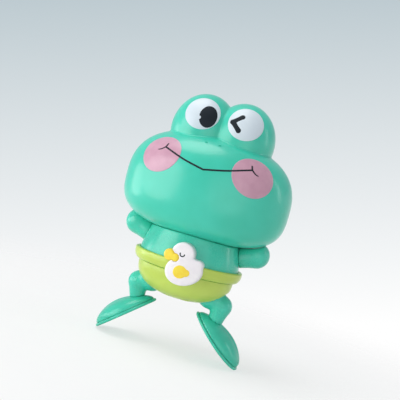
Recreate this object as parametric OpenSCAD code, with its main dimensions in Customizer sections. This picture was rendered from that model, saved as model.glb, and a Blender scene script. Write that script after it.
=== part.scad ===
// Clockwork frog for the bath: a soft squeaking head, a sealed motor and two kicking legs.
// Millimetres. Z points up through the head, and the face looks along -Y.
// The origin lies under the middle of the toy, level with the tips of the flippers.

/* [Head] */
// Width of the head
head_w = 84.4; // [80:0.2:90]
// Depth of the head, front to back
head_d = 55; // [53:0.5:60]
// Height of the widest level above the toes
head_z = 81.5; // [81:0.25:86]
// Rise of the crown above the widest level
crown_rise = 28.5; // [27:0.25:31]
// Drop of the chin below the widest level
chin_drop = 23.25; // [22:0.25:24]
// Wall of the soft head
head_wall = 2.2; // [1.6:0.1:2.6]
// Width of one eye dome
dome_w = 33; // [30:0.5:35]
// Depth of one eye dome
dome_d = 30; // [27:0.5:33]
// Height of the eye domes above the crown
dome_h = 19; // [17:0.25:20]
// Distance between the middles of the eye domes
dome_gap = 20; // [18:0.25:23]

/* [Face] */
// Diameter of the white eye discs
eye_dia = 17.3; // [15:0.1:18.5]
// Distance between the middles of the eye discs
eye_gap = 21.8; // [20:0.1:23]
// Height of the eye discs above the crown
eye_rise = 8.7; // [7.5:0.1:9.5]
// Backward tilt of the eye discs in degrees
eye_tilt = 20; // [12:1:26]
// Diameter of the cheeks
cheek_dia = 19.4; // [17:0.1:21]
// Distance between the middles of the cheeks
cheek_gap = 45.2; // [43:0.2:47]
// Height of the cheeks above the widest level
cheek_rise = 13.4; // [12:0.1:15]
// Backward tilt of the cheeks in degrees
cheek_tilt = 22; // [16:1:26]
// Distance between the corners of the mouth
mouth_w = 43.2; // [38:0.2:46]
// Height of the mouth's corners above the widest level
mouth_rise = 16.3; // [14:0.1:18]
// Dip of the mouth's middle below its corners
mouth_dip = 5.7; // [4:0.1:8]
// Width of the mouth line
mouth_line_w = 0.9; // [0.7:0.05:1.2]
// Depth of the recesses for the face pieces
inlay_depth = 0.7; // [0.5:0.05:0.9]
// How far the face pieces stand proud
inlay_proud = 0.12; // [0.05:0.01:0.2]
// Distance between the nostrils
nostril_gap = 6.8; // [5:0.1:9]
// Diameter of a nostril
nostril_dia = 1.1; // [0.8:0.1:1.6]

/* [Body] */
// Width of the torso at the rim of the trunks
body_w = 51; // [49:0.25:53]
// Depth of the torso at the rim of the trunks
body_d = 39.8; // [39:0.2:41.4]
// Width of the torso under the head
torso_top_w = 44; // [42:0.5:46]
// Wall of the hard shells
shell_wall = 1.8; // [1.6:0.1:2]
// Height of the rim of the trunks above the toes
rim_z = 47; // [46.5:0.1:47.5]
// Height of the rolled waistband
band_h = 6; // [5.6:0.1:6.2]
// How far the waistband stands out from the torso
band_proud = 2.2; // [2:0.1:2.6]
// Rounding of the waistband
band_round = 0.8; // [0.5:0.1:1.2]
// Width of the trunks under the waistband
bowl_w = 49; // [48.5:0.1:50]
// Depth of the trunks' bowl under the waistband
bowl_h = 14.5; // [14.4:0.1:15]

/* [Arms] */
// Reach of the elbow from the middle
elbow_x = 31.6; // [30:0.1:33]
// Radius of the elbow
elbow_r = 6.3; // [5.6:0.1:6.6]
// Radius of the arm at the shoulder
shoulder_r = 5; // [4.4:0.1:5.2]
// Radius of the hand
hand_r = 4.8; // [4.2:0.1:5.2]

/* [Legs] */
// Distance of a hip pin from the middle
hip_x = 15.5; // [15.3:0.1:15.8]
// Height of the hip pins above the toes
hip_z = 32.5; // [32.2:0.1:32.8]
// Radius of the round root of a leg
hub_r = 6.9; // [6.6:0.1:7]
// Radius of the thigh
thigh_r = 5.6; // [5.2:0.1:5.8]
// Radius of the shin
shin_r = 3.6; // [3.2:0.1:4]
// Outward swing of each leg, in degrees
leg_out = 11; // [7:0.5:11.5]
// Inward swing of each leg, in degrees
leg_in = 21; // [15:0.5:21.5]
// Length of a flipper
foot_len = 34.5; // [32:0.25:37]
// Width of a flipper
foot_w = 22; // [19:0.5:25]
// Height of a flipper's dome with its sole
foot_h = 8; // [7.2:0.1:8.6]
// Thickness of the sole plate
sole_t = 1.5; // [1.2:0.1:1.8]
// Slope of a flipper in degrees
foot_angle = 39.6; // [37:0.2:41]
// Distance of a flipper's tip from the middle
toe_x = 37; // [36:0.25:38]

/* [Badge] */
// How far the duck badge stands out from the waistband
badge_t = 1.9; // [1.4:0.1:2.4]
// Width of the duck's body
duck_w = 18.2; // [17:0.2:19]
// Height of the duck's body
duck_h = 14.2; // [13.2:0.1:15]
// Radius of the duck's head
duck_head_r = 5.7; // [5.3:0.1:6]

/* [Motor] */
// Width of the motor case
case_w = 14.8; // [14.6:0.1:15]
// Wall of the motor case
case_wall = 1; // [0.8:0.1:1.1]
// Module of the gears
gear_module = 0.5; // [0.48:0.01:0.51]
// Thickness of the great wheel
wheel_t = 1.8; // [1.4:0.1:2]
// Diameter of the winding arbor
arbor_dia = 3; // [2.6:0.1:3.4]
// Diameter of the winding knob
knob_dia = 14; // [12:0.5:15]
// Depth of the winding knob
knob_h = 5.3; // [4.8:0.1:5.3]
// Diameter of the hip pins
pin_dia = 1.6; // [1.4:0.1:1.8]
// Strip thickness of the mainspring
spring_t = 0.25; // [0.15:0.05:0.35]
// Turns of the mainspring
spring_turns = 5; // [3:1:6]

/* [Hidden] */

// Counts that set how smooth the curves are
fine = 128;
medium = 64;
small = 32;
lobe_steps = 16;

// Clearances shared by all fits
over = 1;
far = 200;
fit_gap = 0.05;
press_gap = 0.02;
seat_gap = 0.4;
hub_gap = 0.35;
run_gap = 0.3;

// Plastic colours
skin = "#4ad4bb";
skin_dark = "#3fb89c";
lime = "#b4c95a";
pink = "#dda3bb";
ink = "#19232b";

// Levels of the head
crown_power = 2.5;
chin_power = 3.1;
crown_z = head_z + crown_rise;
chin_z = head_z - chin_drop;
eye_z = crown_z + eye_rise;
eye_reach = 6;
eye_y = -dome_d / 2 * sqrt(1 - pow((eye_gap - dome_gap) / dome_w, 2) - pow(eye_rise / dome_h, 2));
cheek_z = head_z + cheek_rise;
cheek_level = pow(1 - pow(cheek_rise / crown_rise, crown_power), 1 / crown_power);
cheek_y = -head_d / 2 * sqrt(pow(cheek_level, 2) - pow(cheek_gap / head_w, 2));
mouth_z = head_z + mouth_rise;
nostril_rise = 23.4;
nostril_z = head_z + nostril_rise;
nostril_depth = 0.8;

// Levels of the body
band_z = rim_z - band_h;
bowl_z = band_z - bowl_h;
bowl_power = 2.4;
body_share = body_d / body_w;
band_r = body_w / 2 + band_proud;
band_roll_share = 0.74;
band_roll = band_h * band_roll_share;
skirt_inset = 0.2;
skirt_r = body_w / 2 - skirt_inset;
ledge_up = 0.4;
ledge_z = band_z + ledge_up;
bottom_flat = 0.3;
seat_z = bowl_z + bottom_flat;
torso_top_z = chin_z + head_wall;
taper_power = 1.3;
bulge_share = 0.1;
deck_z = chin_z - seat_gap + fit_gap;
deck_t = 1.8;
split_y = 1.6;

// Neck plug, with the soft wall of the head clipped in its groove
plug_r = 13.5;
plug_lip = 1.5;
plug_flange_t = 1.2;
neck_wall = 1.7;
plug_groove_z = deck_z + plug_flange_t;
head_floor_z = plug_groove_z + neck_wall;
plug_top_z = head_floor_z + plug_flange_t;
air_r = 3;

// Squeaker in the neck plug
squeak_r = 7;
squeak_wall = 1;
squeak_h = 7;
squeak_floor = 1.4;
squeak_z = deck_z + squeak_floor;
reed_t = 0.3;
reed_rise = 2.6;
reed_slot_w = 0.8;
cap_hole_r = 1.1;

// Screws: small self-tapping screws with round heads
screw_r = 0.9;
screw_clear = 0.2;
screw_head_r = 1.8;
screw_head_t = 1.3;
slot_w = 0.5;
slot_depth = 0.5;
neck_screw_x = 10.5;
neck_screw_len = 5.2;

// Bosses that clamp the motor's ears between the torso halves
boss_x = 17.3;
boss_z = 44.2;
boss_r = 2.3;
torso_screw_reach = 5;
torso_screw_bite = 6;

// Arms
elbow_y = 6;
elbow_z = 57.4;
shoulder_x = 20.5;
shoulder_y = 3;
shoulder_z = 53;
hand_x = 13.5;
hand_y = 19.4;
hand_z = 53;
arm_peg_r = 1.5;
arm_peg_y = 5.4;
arm_peg_in = 19.4;
peg_seat = 4;

// Motor levels and layers, counted from the rear plate to the front
wheel_teeth = 22;
pinion_teeth = 8;
wheel_r = gear_module * wheel_teeth / 2;
pinion_r = gear_module * pinion_teeth / 2;
gear_centres = wheel_r + pinion_r;
wheel_z = 43.2;
crank_z = wheel_z + gear_centres;
governor_z = wheel_z - gear_centres;
cover_y = 2.1;
cover_t = 1;
cover_front = cover_y - cover_t;
case_depth = 13.5;
case_front = cover_y - case_depth;
case_inner_front = case_front + case_wall;
case_top_room = 4.6;
case_low_room = 4.5;
case_top = crank_z + case_top_room;
case_low = governor_z - case_low_room;
wheel_back = -0.8;
wheel_front = wheel_back - wheel_t;
pinion_back = -0.6;
pinion_face = 2.2;
pinion_front = pinion_back - pinion_face;
spring_gap = 0.7;
spring_back = wheel_front - spring_gap;
spring_front = case_inner_front + spring_gap;
spring_r = 5.9;
spring_in_r = arbor_dia / 2 + run_gap;
tooth_tall = 0.42;
tooth_deep = 0.55;
tooth_tip_share = 0.15;
tooth_base_share = 0.5;
ear_w = 4.6;
ear_hole_gap = 0.15;
corner_boss_r = 1.3;
corner_x = case_w / 2 - case_wall - corner_boss_r / 2;
corner_in = 1.7;
motor_screw_r = 0.6;
motor_head_r = 1.1;
motor_head_t = 0.8;
motor_screw_len = 5;
motor_pilot_gap = 0.5;
motor_head_sink = 0.6;

// Crank and kick slider
lever_x = 7.2;
lever_z = 33.8;
lever_arm = hip_x - lever_x;
degree_share = PI / 180;
crank_r = lever_arm * (leg_in + leg_out) / 2 * degree_share;
crank_rest = asin((leg_in - leg_out) / (leg_in + leg_out));
crank_pin_z = crank_z - crank_r * sin(crank_rest);
crank_pin_r = 0.8;
crank_disc_r = crank_r + crank_pin_r + run_gap;
lever_front = cover_y + seat_gap;
lever_t = 1.5;
lever_w = 3;
slider_front = lever_front + lever_t + run_gap;
slider_t = 1.5;
slider_back = slider_front + slider_t;
slot_gap = 0.3;
slot_bar = 1;
slider_w = 9;
window_gap = 0.4;
slot_in = 0.5;
slot_out = 0.9;
guide_w = 1.2;
guide_gap = 0.1;
guide_h = 2.4;
guide_low_z = 40;
guide_high_z = 47;
wing_reach = 2.6;
shaft_r = 0.8;
governor_r = 3.2;
governor_t = 1.3;
governor_gap = 0.1;

// Knob, seal and shaft at the back
knob_gap = 0.5;
knob_front = band_r * body_share + knob_gap;
knob_plate_t = 1.6;
knob_back = knob_front + knob_h;
knob_grip_w = 3.4;
knob_hub_r = 3.2;
arbor_end = knob_back - knob_plate_t;
seal_r = 2.6;
seal_lip = 0.5;
seal_in_y = 17.4;
seal_run = 0.1;
knob_screw_r = 0.7;
knob_screw_len = 5;

// Legs
hub_front = -5.9;
hub_rear = lever_front + lever_t;
thigh_gap = 0.2;
limb_step = 0.12;
knee_x = 22;
knee_z = 28.7;
knee_r = 5.1;
ankle_share = 0.27;
ankle_sink = 3;
ring_r = 1.1;
ring_w = 0.4;
ring_tall = 0.5;
pin_boss_r = 2.2;
pin_boss_gap = 0.25;
pin_front = -10;
pin_rear = 11.6;

// Flippers: a hollow dome on a flat sole, shaped by shares of the length
foot_steps = 14;
foot_wall = 1.4;
rim_in = 0.9;
leaf_power = 0.57;
leaf_skew = 0.87;
rib_half_share = 0.36;
rib_mid_share = 0.44;
rib_half_w = 1.5;
rib_tall = 0.45;

// Screws under the trunks and the drain holes between them
trunk_screw_x = 5;
trunk_screw_y = -8;
trunk_screw_bite = 4.6;
trunk_post_r = 2;
trunk_head_rise = 3;
trunk_head_z = bowl_z + trunk_head_rise;
drain_r = 0.8;
drain_ring = 3.2;

// Duck badge, drawn upright round the middle of its body and then leant
duck_x = 2.9;
duck_z = 43.3;
duck_lean = 15;
duck_head_x = -0.2;
duck_head_z = 7.9;
tail_x = 6.7;
tail_z = 2.3;
tail_r = 2.7;
bill_x = -6.9;
bill_z = 7.8;
bill_r = 2.8;
bill_lip_x = -3.9;
bill_lip_z = 6.4;
bill_lip_r = 2;
wing_x = -1.6;
wing_z = -0.4;
wing_w = 6.6;
wing_h = 6.2;
wing_tip_x = 1.4;
wing_tip_z = -1;
wing_tip_r = 1.7;
duck_eye_r = 1.4;
duck_eye_w = 0.6;
duck_eye_x = -0.3;
duck_eye_z = 8;
duck_eye_lean = -22;
duck_eye_rise = 0.3;
eye_inlay = 0.4;

// Eye marks
eye_shift = 0.65;
pupil_w = 8.6;
pupil_h = 11.4;
pupil_x = 3.3;
pupil_z = -1.4;
notch_r = 1.2;
notch_z = -0.4;
wink_w = 2.2;
wink_x = -6.3;
wink_z = -0.4;
wink_reach = 4;
wink_up = 3.4;
wink_down = 3.8;
ink_proud = 0.05;
tick_w = 0.8;
tick_in = 0.8;
tick_up = 1.9;
tick_out = 3.4;
tick_down = 2.1;
mouth_sag = 0.5;
mouth_steps = 8;
tick_tip_share = 0.45;
tick_knot_share = 1.08;

// Outline helpers
function quarter(w, h, power) = [for (i = [0:lobe_steps]) let (a = 90 * i / lobe_steps)
    [w * pow(cos(a), 2 / power), h * pow(sin(a), 2 / power)]];
function arc(cx, cy, r, from, to, steps) = [for (i = [0:steps])
    let (a = from + (to - from) * i / steps) [cx + r * cos(a), cy + r * sin(a)]];
function gear(teeth, r, phase) = [for (i = [0:teeth - 1], c = [0:3])
    let (tip = c == 1 || c == 2,
        share = tip ? tooth_tip_share : tooth_base_share,
        a = phase + 360 * (i + (c < 2 ? -share : share) / 2) / teeth)
    (tip ? r + tooth_tall : r - tooth_deep) * [cos(a), sin(a)]];
function spiral_r(t) = spring_in_r + (spring_r - spring_in_r - spring_t) * t;
function spiral(dr) = [for (i = [0:small * spring_turns])
    let (t = i / (small * spring_turns), a = 360 * spring_turns * t)
    (spiral_r(t) + dr) * [cos(a), sin(a)]];
function flip(points) = [for (i = [len(points) - 1:-1:0]) points[i]];

// The right side as drawn, or its mirror image on the left
module on_side(side) {
    mirror([side < 0 ? 1 : 0, 0, 0]) children();
}
module oval(x, y, w, h) {
    translate([x, y]) scale([w / h, 1]) circle(d = h, $fn = medium);
}
// Extrudes an XZ outline between two depths
module along_y(y0, y1) {
    translate([0, y1, 0]) rotate([90, 0, 0]) linear_extrude(y1 - y0) children();
}
module rod(x, z, y0, y1, r) {
    translate([x, y1, z]) rotate([90, 0, 0]) cylinder(r = r, h = y1 - y0, $fn = small);
}
module post(x, y, z0, z1, r) {
    translate([x, y, z0]) cylinder(r = r, h = z1 - z0, $fn = small);
}
module slab(x0, x1, y0, y1, z0, z1) {
    translate([x0, y0, z0]) cube([x1 - x0, y1 - y0, z1 - z0]);
}
// A straight bar with round ends between two points
module stroke(a, b, w) {
    d = b - a;
    translate(a) circle(d = w, $fn = small);
    translate(b) circle(d = w, $fn = small);
    translate(a) rotate(atan2(d.y, d.x)) translate([0, -w / 2]) square([norm(d), w]);
}
// A ball at each end and a cone between their middles, a little thinner than the balls
module limb(a, b, ra, rb) {
    d = b - a;
    translate(a) rotate([0, 90, 0]) sphere(r = ra, $fn = medium);
    translate(b) rotate([0, 90, 0]) sphere(r = rb, $fn = medium);
    translate(a) rotate([0, acos(d.z / norm(d)), atan2(d.y, d.x)])
        cylinder(r1 = ra - limb_step, r2 = rb - limb_step, h = norm(d), $fn = medium);
}
module screw(len, r, head_r, head_t) {
    difference() {
        union() {
            translate([0, 0, -len]) cylinder(r = r, h = len, $fn = small);
            cylinder(r = head_r, h = head_t, $fn = small);
        }
        translate([-head_r, -slot_w / 2, head_t - slot_depth]) cube([2 * head_r, slot_w, over]);
    }
}

// The squashed egg of the head, grown by g
module egg(g) {
    w = head_w / 2 + g;
    translate([0, 0, head_z]) scale([1, (head_d / 2 + g) / w, 1]) rotate_extrude($fn = fine)
        polygon(concat([for (p = flip(quarter(w, chin_drop + g, chin_power))) [p.x, -p.y]],
            quarter(w, crown_rise + g, crown_power)));
}
module domes(g) {
    for (side = [-1, 1]) translate([side * dome_gap / 2, 0, crown_z])
        scale([(dome_w / 2 + g) / dome_h, (dome_d / 2 + g) / dome_h, (dome_h + g) / dome_h])
            sphere(r = dome_h, $fn = fine);
}
// The body's round forms are drawn round and squeezed front to back
module body_turn() {
    scale([1, body_share, 1]) rotate_extrude($fn = fine) children();
}
module torso_form(g, top) {
    rise = top - rim_z;
    body_turn() polygon(concat([[0, ledge_z], [skirt_r + g, ledge_z], [body_w / 2 + g, rim_z]],
        [for (i = [1:lobe_steps / 2]) let (t = 2 * i / lobe_steps)
            [body_w / 2 + g - (body_w - torso_top_w) / 2 * pow(t, taper_power), rim_z + rise * t]],
        [[0, top]]));
}
module trunks_form(g) {
    body_turn() polygon(concat([for (p = flip(quarter(bowl_w / 2 + g, bowl_h + g, bowl_power)))
            [p.x, band_z - p.y]],
        [for (i = [1:6]) let (a = 90 * i / 6) [bowl_w / 2 + g + (band_r - bowl_w / 2) * sin(a),
            band_z - g + band_roll * (1 - cos(a))]],
        arc(band_r + g - band_round, rim_z + g - band_round, band_round, 0, 90, 6),
        [[0, rim_z + g]]));
}

// Face outlines, all cut or filled along Y
module on_eye(side) {
    translate([side * eye_gap / 2 + eye_shift, eye_y, eye_z]) rotate([90 - eye_tilt, 0, 0])
        translate([0, 0, -eye_reach]) linear_extrude(2 * eye_reach) children();
}
module eye_plug(side, g) {
    on_eye(side) circle(r = eye_dia / 2 + g, $fn = medium);
}
module cheek_plug(side, g) {
    translate([side * cheek_gap / 2, cheek_y, cheek_z]) rotate([90 - cheek_tilt, 0, 0])
        translate([0, 0, -cheek_dia / 2]) cylinder(r = cheek_dia / 2 + g, h = cheek_dia, $fn = medium);
}
// The mouth is one line with a kink in its middle and two small tapered ticks at each corner
function mouth_path(up) = [for (i = [-mouth_steps:mouth_steps]) let (t = abs(i) / mouth_steps)
    [i / mouth_steps * mouth_w / 2,
        mouth_z - mouth_dip * (1 - t) - mouth_sag * (1 - pow(2 * t - 1, 2)) + up]];
module tick(a, b, w) {
    side = [a.y - b.y, b.x - a.x] / norm(b - a) * w / 2;
    tip = side * tick_tip_share;
    polygon([a - side, b - tip, b + tip, a + side]);
}
module mouth_outline(g) {
    up = (mouth_line_w / 2 + g) * norm([mouth_w / 2, mouth_dip]) / (mouth_w / 2);
    polygon(concat(mouth_path(-up), flip(mouth_path(up))));
    for (side = [-1, 1]) {
        corner = [side * mouth_w / 2, mouth_z];
        translate(corner) circle(r = up * tick_knot_share, $fn = small);
        tick(corner, corner + [-side * tick_in, tick_up], tick_w + 2 * g);
        tick(corner, corner + [side * tick_out, -tick_down], tick_w + 2 * g);
    }
}
module face_layer(deep, proud) {
    difference() {
        egg(proud);
        egg(-deep);
    }
}
module eye_layer(deep, proud) {
    difference() {
        domes(proud);
        domes(-deep);
    }
}

module head_shell() {
    color(skin) difference() {
        union() {
            egg(0);
            domes(0);
        }
        intersection() {
            union() {
                egg(-head_wall);
                domes(-head_wall);
            }
            slab(-far, far, -far, far, head_floor_z, far);
        }
        post(0, 0, chin_z - over, plug_groove_z, plug_r + plug_lip + fit_gap);
        post(0, 0, chin_z - over, head_floor_z + over, plug_r + fit_gap);
        post(0, 0, head_floor_z, plug_top_z + seat_gap, plug_r + plug_lip + fit_gap);
        intersection() {
            union() {
                for (side = [-1, 1]) cheek_plug(side, press_gap);
                along_y(-head_d, 0) mouth_outline(press_gap);
            }
            face_layer(inlay_depth, over);
        }
        intersection() {
            for (side = [-1, 1]) eye_plug(side, press_gap);
            eye_layer(inlay_depth, over);
        }
        intersection() {
            for (side = [-1, 1]) rod(side * nostril_gap / 2, nostril_z, -head_d, 0, nostril_dia / 2);
            face_layer(nostril_depth, over);
        }
    }
}
module neck_plug() {
    color("lightgray") difference() {
        union() {
            post(0, 0, deck_z, plug_groove_z, plug_r + plug_lip);
            post(0, 0, deck_z, plug_top_z, plug_r);
            post(0, 0, head_floor_z, plug_top_z, plug_r + plug_lip);
        }
        post(0, 0, squeak_z, plug_top_z + over, squeak_r + press_gap);
        post(0, 0, deck_z - over, squeak_z + over, air_r);
        for (side = [-1, 1])
            post(side * neck_screw_x, 0, deck_z - over, plug_top_z - squeak_wall / 2, screw_r);
    }
}
module squeaker_case() {
    color("white") difference() {
        post(0, 0, squeak_z, squeak_z + squeak_h, squeak_r);
        post(0, 0, squeak_z + reed_rise, squeak_z + squeak_h + over, squeak_r - squeak_wall);
        post(0, 0, squeak_z + squeak_wall, squeak_z + squeak_h, squeak_r - 2 * squeak_wall);
        post(0, 0, squeak_z - over, squeak_z + squeak_h, air_r - squeak_wall);
    }
}
module squeaker_reed() {
    color("silver") difference() {
        post(0, 0, squeak_z + reed_rise, squeak_z + reed_rise + reed_t, squeak_r - squeak_wall);
        slab(-reed_slot_w / 2, reed_slot_w / 2, -air_r, air_r, squeak_z, squeak_z + squeak_h);
    }
}
module squeaker_cap() {
    low = squeak_z + reed_rise + reed_t;
    color("gainsboro") difference() {
        post(0, 0, low, squeak_z + squeak_h, squeak_r - squeak_wall);
        post(0, 0, low - over, squeak_z + squeak_h - squeak_wall, squeak_r - 2 * squeak_wall);
        for (a = [0:90:270]) rotate(a) post(air_r, 0, low, squeak_z + squeak_h + over, cap_hole_r);
    }
}
module neck_screws() {
    color("silver") for (side = [-1, 1])
        translate([side * neck_screw_x, 0, deck_z - deck_t]) rotate([180, 0, 0])
            screw(neck_screw_len, screw_r, screw_head_r, screw_head_t);
}
module eye_white(side) {
    color("#d4eff7") difference() {
        intersection() {
            eye_plug(side, 0);
            eye_layer(inlay_depth, inlay_proud);
        }
        on_eye(side) eye_mark(side, press_gap);
    }
}
module eye_mark(side, g) {
    if (side < 0) difference() {
        oval(pupil_x, pupil_z, pupil_w + 2 * g, pupil_h + 2 * g);
        translate([pupil_x - pupil_w / 2 - g, notch_z]) circle(r = notch_r - g, $fn = small);
    }
    else {
        apex = [wink_x, wink_z];
        stroke(apex, apex + [wink_reach, wink_up], wink_w + 2 * g);
        stroke(apex, apex + [wink_reach, -wink_down], wink_w + 2 * g);
    }
}
module eye_ink(side) {
    color(ink) intersection() {
        on_eye(side) eye_mark(side, 0);
        eye_layer(inlay_depth, inlay_proud + ink_proud);
    }
}
module cheek(side) {
    color(pink) difference() {
        intersection() {
            cheek_plug(side, 0);
            face_layer(inlay_depth, inlay_proud);
        }
        along_y(-head_d, 0) mouth_outline(press_gap);
    }
}
module mouth_line() {
    color(ink) intersection() {
        along_y(-head_d, 0) mouth_outline(0);
        face_layer(inlay_depth, inlay_proud + ink_proud);
    }
}

// The torso shell before it is split, with the seat for the chin cut in its top
module torso_shell() {
    difference() {
        torso_form(0, torso_top_z);
        intersection() {
            torso_form(-shell_wall, torso_top_z);
            slab(-far, far, -far, far, 0, deck_z - deck_t);
        }
        slab(-far, far, -far, far, 0, ledge_z + fit_gap);
        egg(seat_gap);
        post(0, 0, deck_z, torso_top_z + over, plug_r + plug_lip + fit_gap);
        post(0, 0, chin_z - over - deck_t, torso_top_z, air_r);
        for (side = [-1, 1])
            post(side * neck_screw_x, 0, chin_z - over - deck_t, torso_top_z, screw_r + screw_clear);
    }
}
module torso_front() {
    color(skin) difference() {
        union() {
            intersection() {
                torso_shell();
                slab(-far, far, -far, split_y, 0, far);
            }
            intersection() {
                for (side = [-1, 1])
                    rod(side * boss_x, boss_z, -body_d, cover_front, boss_r);
                torso_form(-fit_gap, torso_top_z);
                slab(-far, far, -far, split_y, ledge_z + fit_gap, far);
            }
        }
        for (side = [-1, 1])
            rod(side * boss_x, boss_z, cover_front - torso_screw_bite, split_y + over, screw_r);
    }
}
module torso_rear() {
    color(skin) difference() {
        union() {
            intersection() {
                torso_shell();
                slab(-far, far, split_y, far, 0, far);
            }
            intersection() {
                for (side = [-1, 1]) rod(side * boss_x, boss_z, cover_y, body_d, boss_r);
                torso_form(-fit_gap, torso_top_z);
                slab(-far, far, split_y, far, ledge_z + fit_gap, far);
            }
        }
        for (side = [-1, 1]) {
            rod(side * boss_x, boss_z, 0, body_d, screw_r + screw_clear);
            rod(side * boss_x, boss_z, cover_y + torso_screw_reach, body_d, screw_head_r + screw_clear);
            on_side(side) arm_peg(fit_gap);
        }
        rod(0, wheel_z, 0, body_d, seal_r + press_gap);
    }
}
module torso_screws() {
    color("silver") for (side = [-1, 1])
        translate([side * boss_x, cover_y + torso_screw_reach, boss_z]) rotate([-90, 0, 0])
            screw(torso_screw_reach + cover_t + torso_screw_bite / 2, screw_r, screw_head_r,
                screw_head_t);
}
module arm_peg(g) {
    translate([arm_peg_in, arm_peg_y, shoulder_z]) rotate([0, 90, 0])
        cylinder(r = arm_peg_r + g, h = peg_seat, $fn = small);
}
// The cone round the torso's bulging side that the arms lie against
module arm_seat() {
    fall = (body_w - torso_top_w) / 2;
    out = fall * bulge_share + fit_gap;
    body_turn() polygon([[0, rim_z], [body_w / 2 + out, rim_z],
        [torso_top_w / 2 + out, torso_top_z], [0, torso_top_z]]);
}
module arm(side) {
    shoulder = [shoulder_x, shoulder_y, shoulder_z];
    elbow = [elbow_x, elbow_y, elbow_z];
    hand = [hand_x, hand_y, hand_z];
    color(skin) on_side(side) union() {
        difference() {
            union() {
                limb(shoulder, elbow, shoulder_r, elbow_r);
                limb(elbow, hand, elbow_r, hand_r);
            }
            arm_seat();
            egg(seat_gap);
        }
        arm_peg(0);
    }
}

module trunks() {
    difference() {
        union() {
            color(lime) difference() {
                trunks_form(0);
                body_turn() polygon(concat(
                    [for (p = flip(quarter(bowl_w / 2 - shell_wall, bowl_h - shell_wall, bowl_power)))
                        [p.x, band_z - p.y]],
                    [[bowl_w / 2 - shell_wall, ledge_z], [body_w / 2 + fit_gap, ledge_z],
                        [body_w / 2 + fit_gap, rim_z + over], [0, rim_z + over]]));
            }
            color(lime) intersection() {
                union() {
                    for (side = [-1, 1]) {
                        rod(side * hip_x, hip_z, -body_d / 2, hub_front - pin_boss_gap, pin_boss_r);
                        rod(side * hip_x, hip_z, -hub_front + pin_boss_gap, body_d / 2, pin_boss_r);
                        post(side * trunk_screw_x, trunk_screw_y, bowl_z, case_low, trunk_post_r);
                    }
                }
                trunks_form(-fit_gap);
            }
        }
        for (side = [-1, 1]) {
            intersection() {
                translate([side * hip_x, 0, hip_z]) sphere(r = hub_r + hub_gap, $fn = medium);
                slab(-far, far, hub_front - pin_boss_gap, -hub_front + pin_boss_gap, 0, far);
            }
            on_side(side) translate([hip_x, 0, hip_z])
                rotate([0, atan2(knee_x - hip_x, knee_z - hip_z) - leg_out, 0])
                    cylinder(r = thigh_r + thigh_gap, h = 2 * hub_r, $fn = medium);
            rod(side * hip_x, hip_z, pin_front, body_d, pin_dia / 2);
            post(side * trunk_screw_x, trunk_screw_y, 0, case_low + over, screw_r + screw_clear);
            post(side * trunk_screw_x, trunk_screw_y, 0, trunk_head_z, screw_head_r + screw_clear);
        }
        for (a = [0:120:240]) rotate(a) post(0, drain_ring, 0, rim_z, drain_r);
        slab(-far, far, -far, far, 0, seat_z);
        rod(0, wheel_z, 0, body_d, seal_r + press_gap);
    }
}
module trunk_screws() {
    color("silver") for (side = [-1, 1])
        translate([side * trunk_screw_x, trunk_screw_y, trunk_head_z]) rotate([180, 0, 0])
            screw(case_low - trunk_head_z + trunk_screw_bite, screw_r, screw_head_r, screw_head_t);
}

// Duck badge, its front curved like the waistband
module badge_block(g) {
    difference() {
        body_turn() square([band_r + badge_t / body_share + g, torso_top_z]);
        trunks_form(fit_gap);
        torso_form(fit_gap, torso_top_z);
        slab(-far, far, 0, far, 0, far);
    }
}
module badge_skin(deep, proud) {
    r = band_r + badge_t / body_share;
    difference() {
        body_turn() square([r + proud, torso_top_z]);
        body_turn() square([r - deep, torso_top_z + over]);
    }
}
module in_duck() {
    translate([duck_x, duck_z]) rotate(duck_lean) children();
}
module bill_outline(g) {
    in_duck() {
        translate([bill_x, bill_z]) circle(r = bill_r + g, $fn = medium);
        translate([bill_lip_x, bill_lip_z]) circle(r = bill_lip_r + g, $fn = small);
    }
}
module duck_outline() {
    in_duck() {
        oval(0, 0, duck_w, duck_h);
        translate([duck_head_x, duck_head_z]) circle(r = duck_head_r, $fn = medium);
        translate([tail_x, tail_z]) circle(r = tail_r, $fn = small);
    }
}
module wing_outline(g) {
    in_duck() {
        oval(wing_x, wing_z, wing_w + 2 * g, wing_h + 2 * g);
        translate([wing_tip_x, wing_tip_z]) circle(r = wing_tip_r + g, $fn = small);
    }
}
module duck_eye_outline(g) {
    in_duck() translate([duck_eye_x, duck_eye_z]) rotate(duck_eye_lean) difference() {
        circle(r = duck_eye_r + g, $fn = small);
        circle(r = duck_eye_r - duck_eye_w - g, $fn = small);
        translate([-duck_head_r, duck_eye_rise + g]) square([2 * duck_head_r, duck_head_r]);
    }
}
module duck_badge() {
    color("#f1f2e2") difference() {
        intersection() {
            along_y(-body_d, 0) duck_outline();
            badge_block(0);
        }
        along_y(-body_d, 0) bill_outline(press_gap);
        intersection() {
            along_y(-body_d, 0) union() {
                wing_outline(press_gap);
                duck_eye_outline(press_gap);
            }
            badge_skin(eye_inlay, over);
        }
    }
}
module duck_bill() {
    color("#f8e745") intersection() {
        along_y(-body_d, 0) bill_outline(0);
        badge_block(inlay_proud);
    }
}
module duck_wing() {
    color("#fbe44d") intersection() {
        along_y(-body_d, 0) wing_outline(0);
        badge_skin(eye_inlay, inlay_proud);
    }
}
module duck_eye() {
    color(ink) intersection() {
        along_y(-body_d, 0) duck_eye_outline(0);
        badge_skin(eye_inlay, inlay_proud);
    }
}

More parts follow.
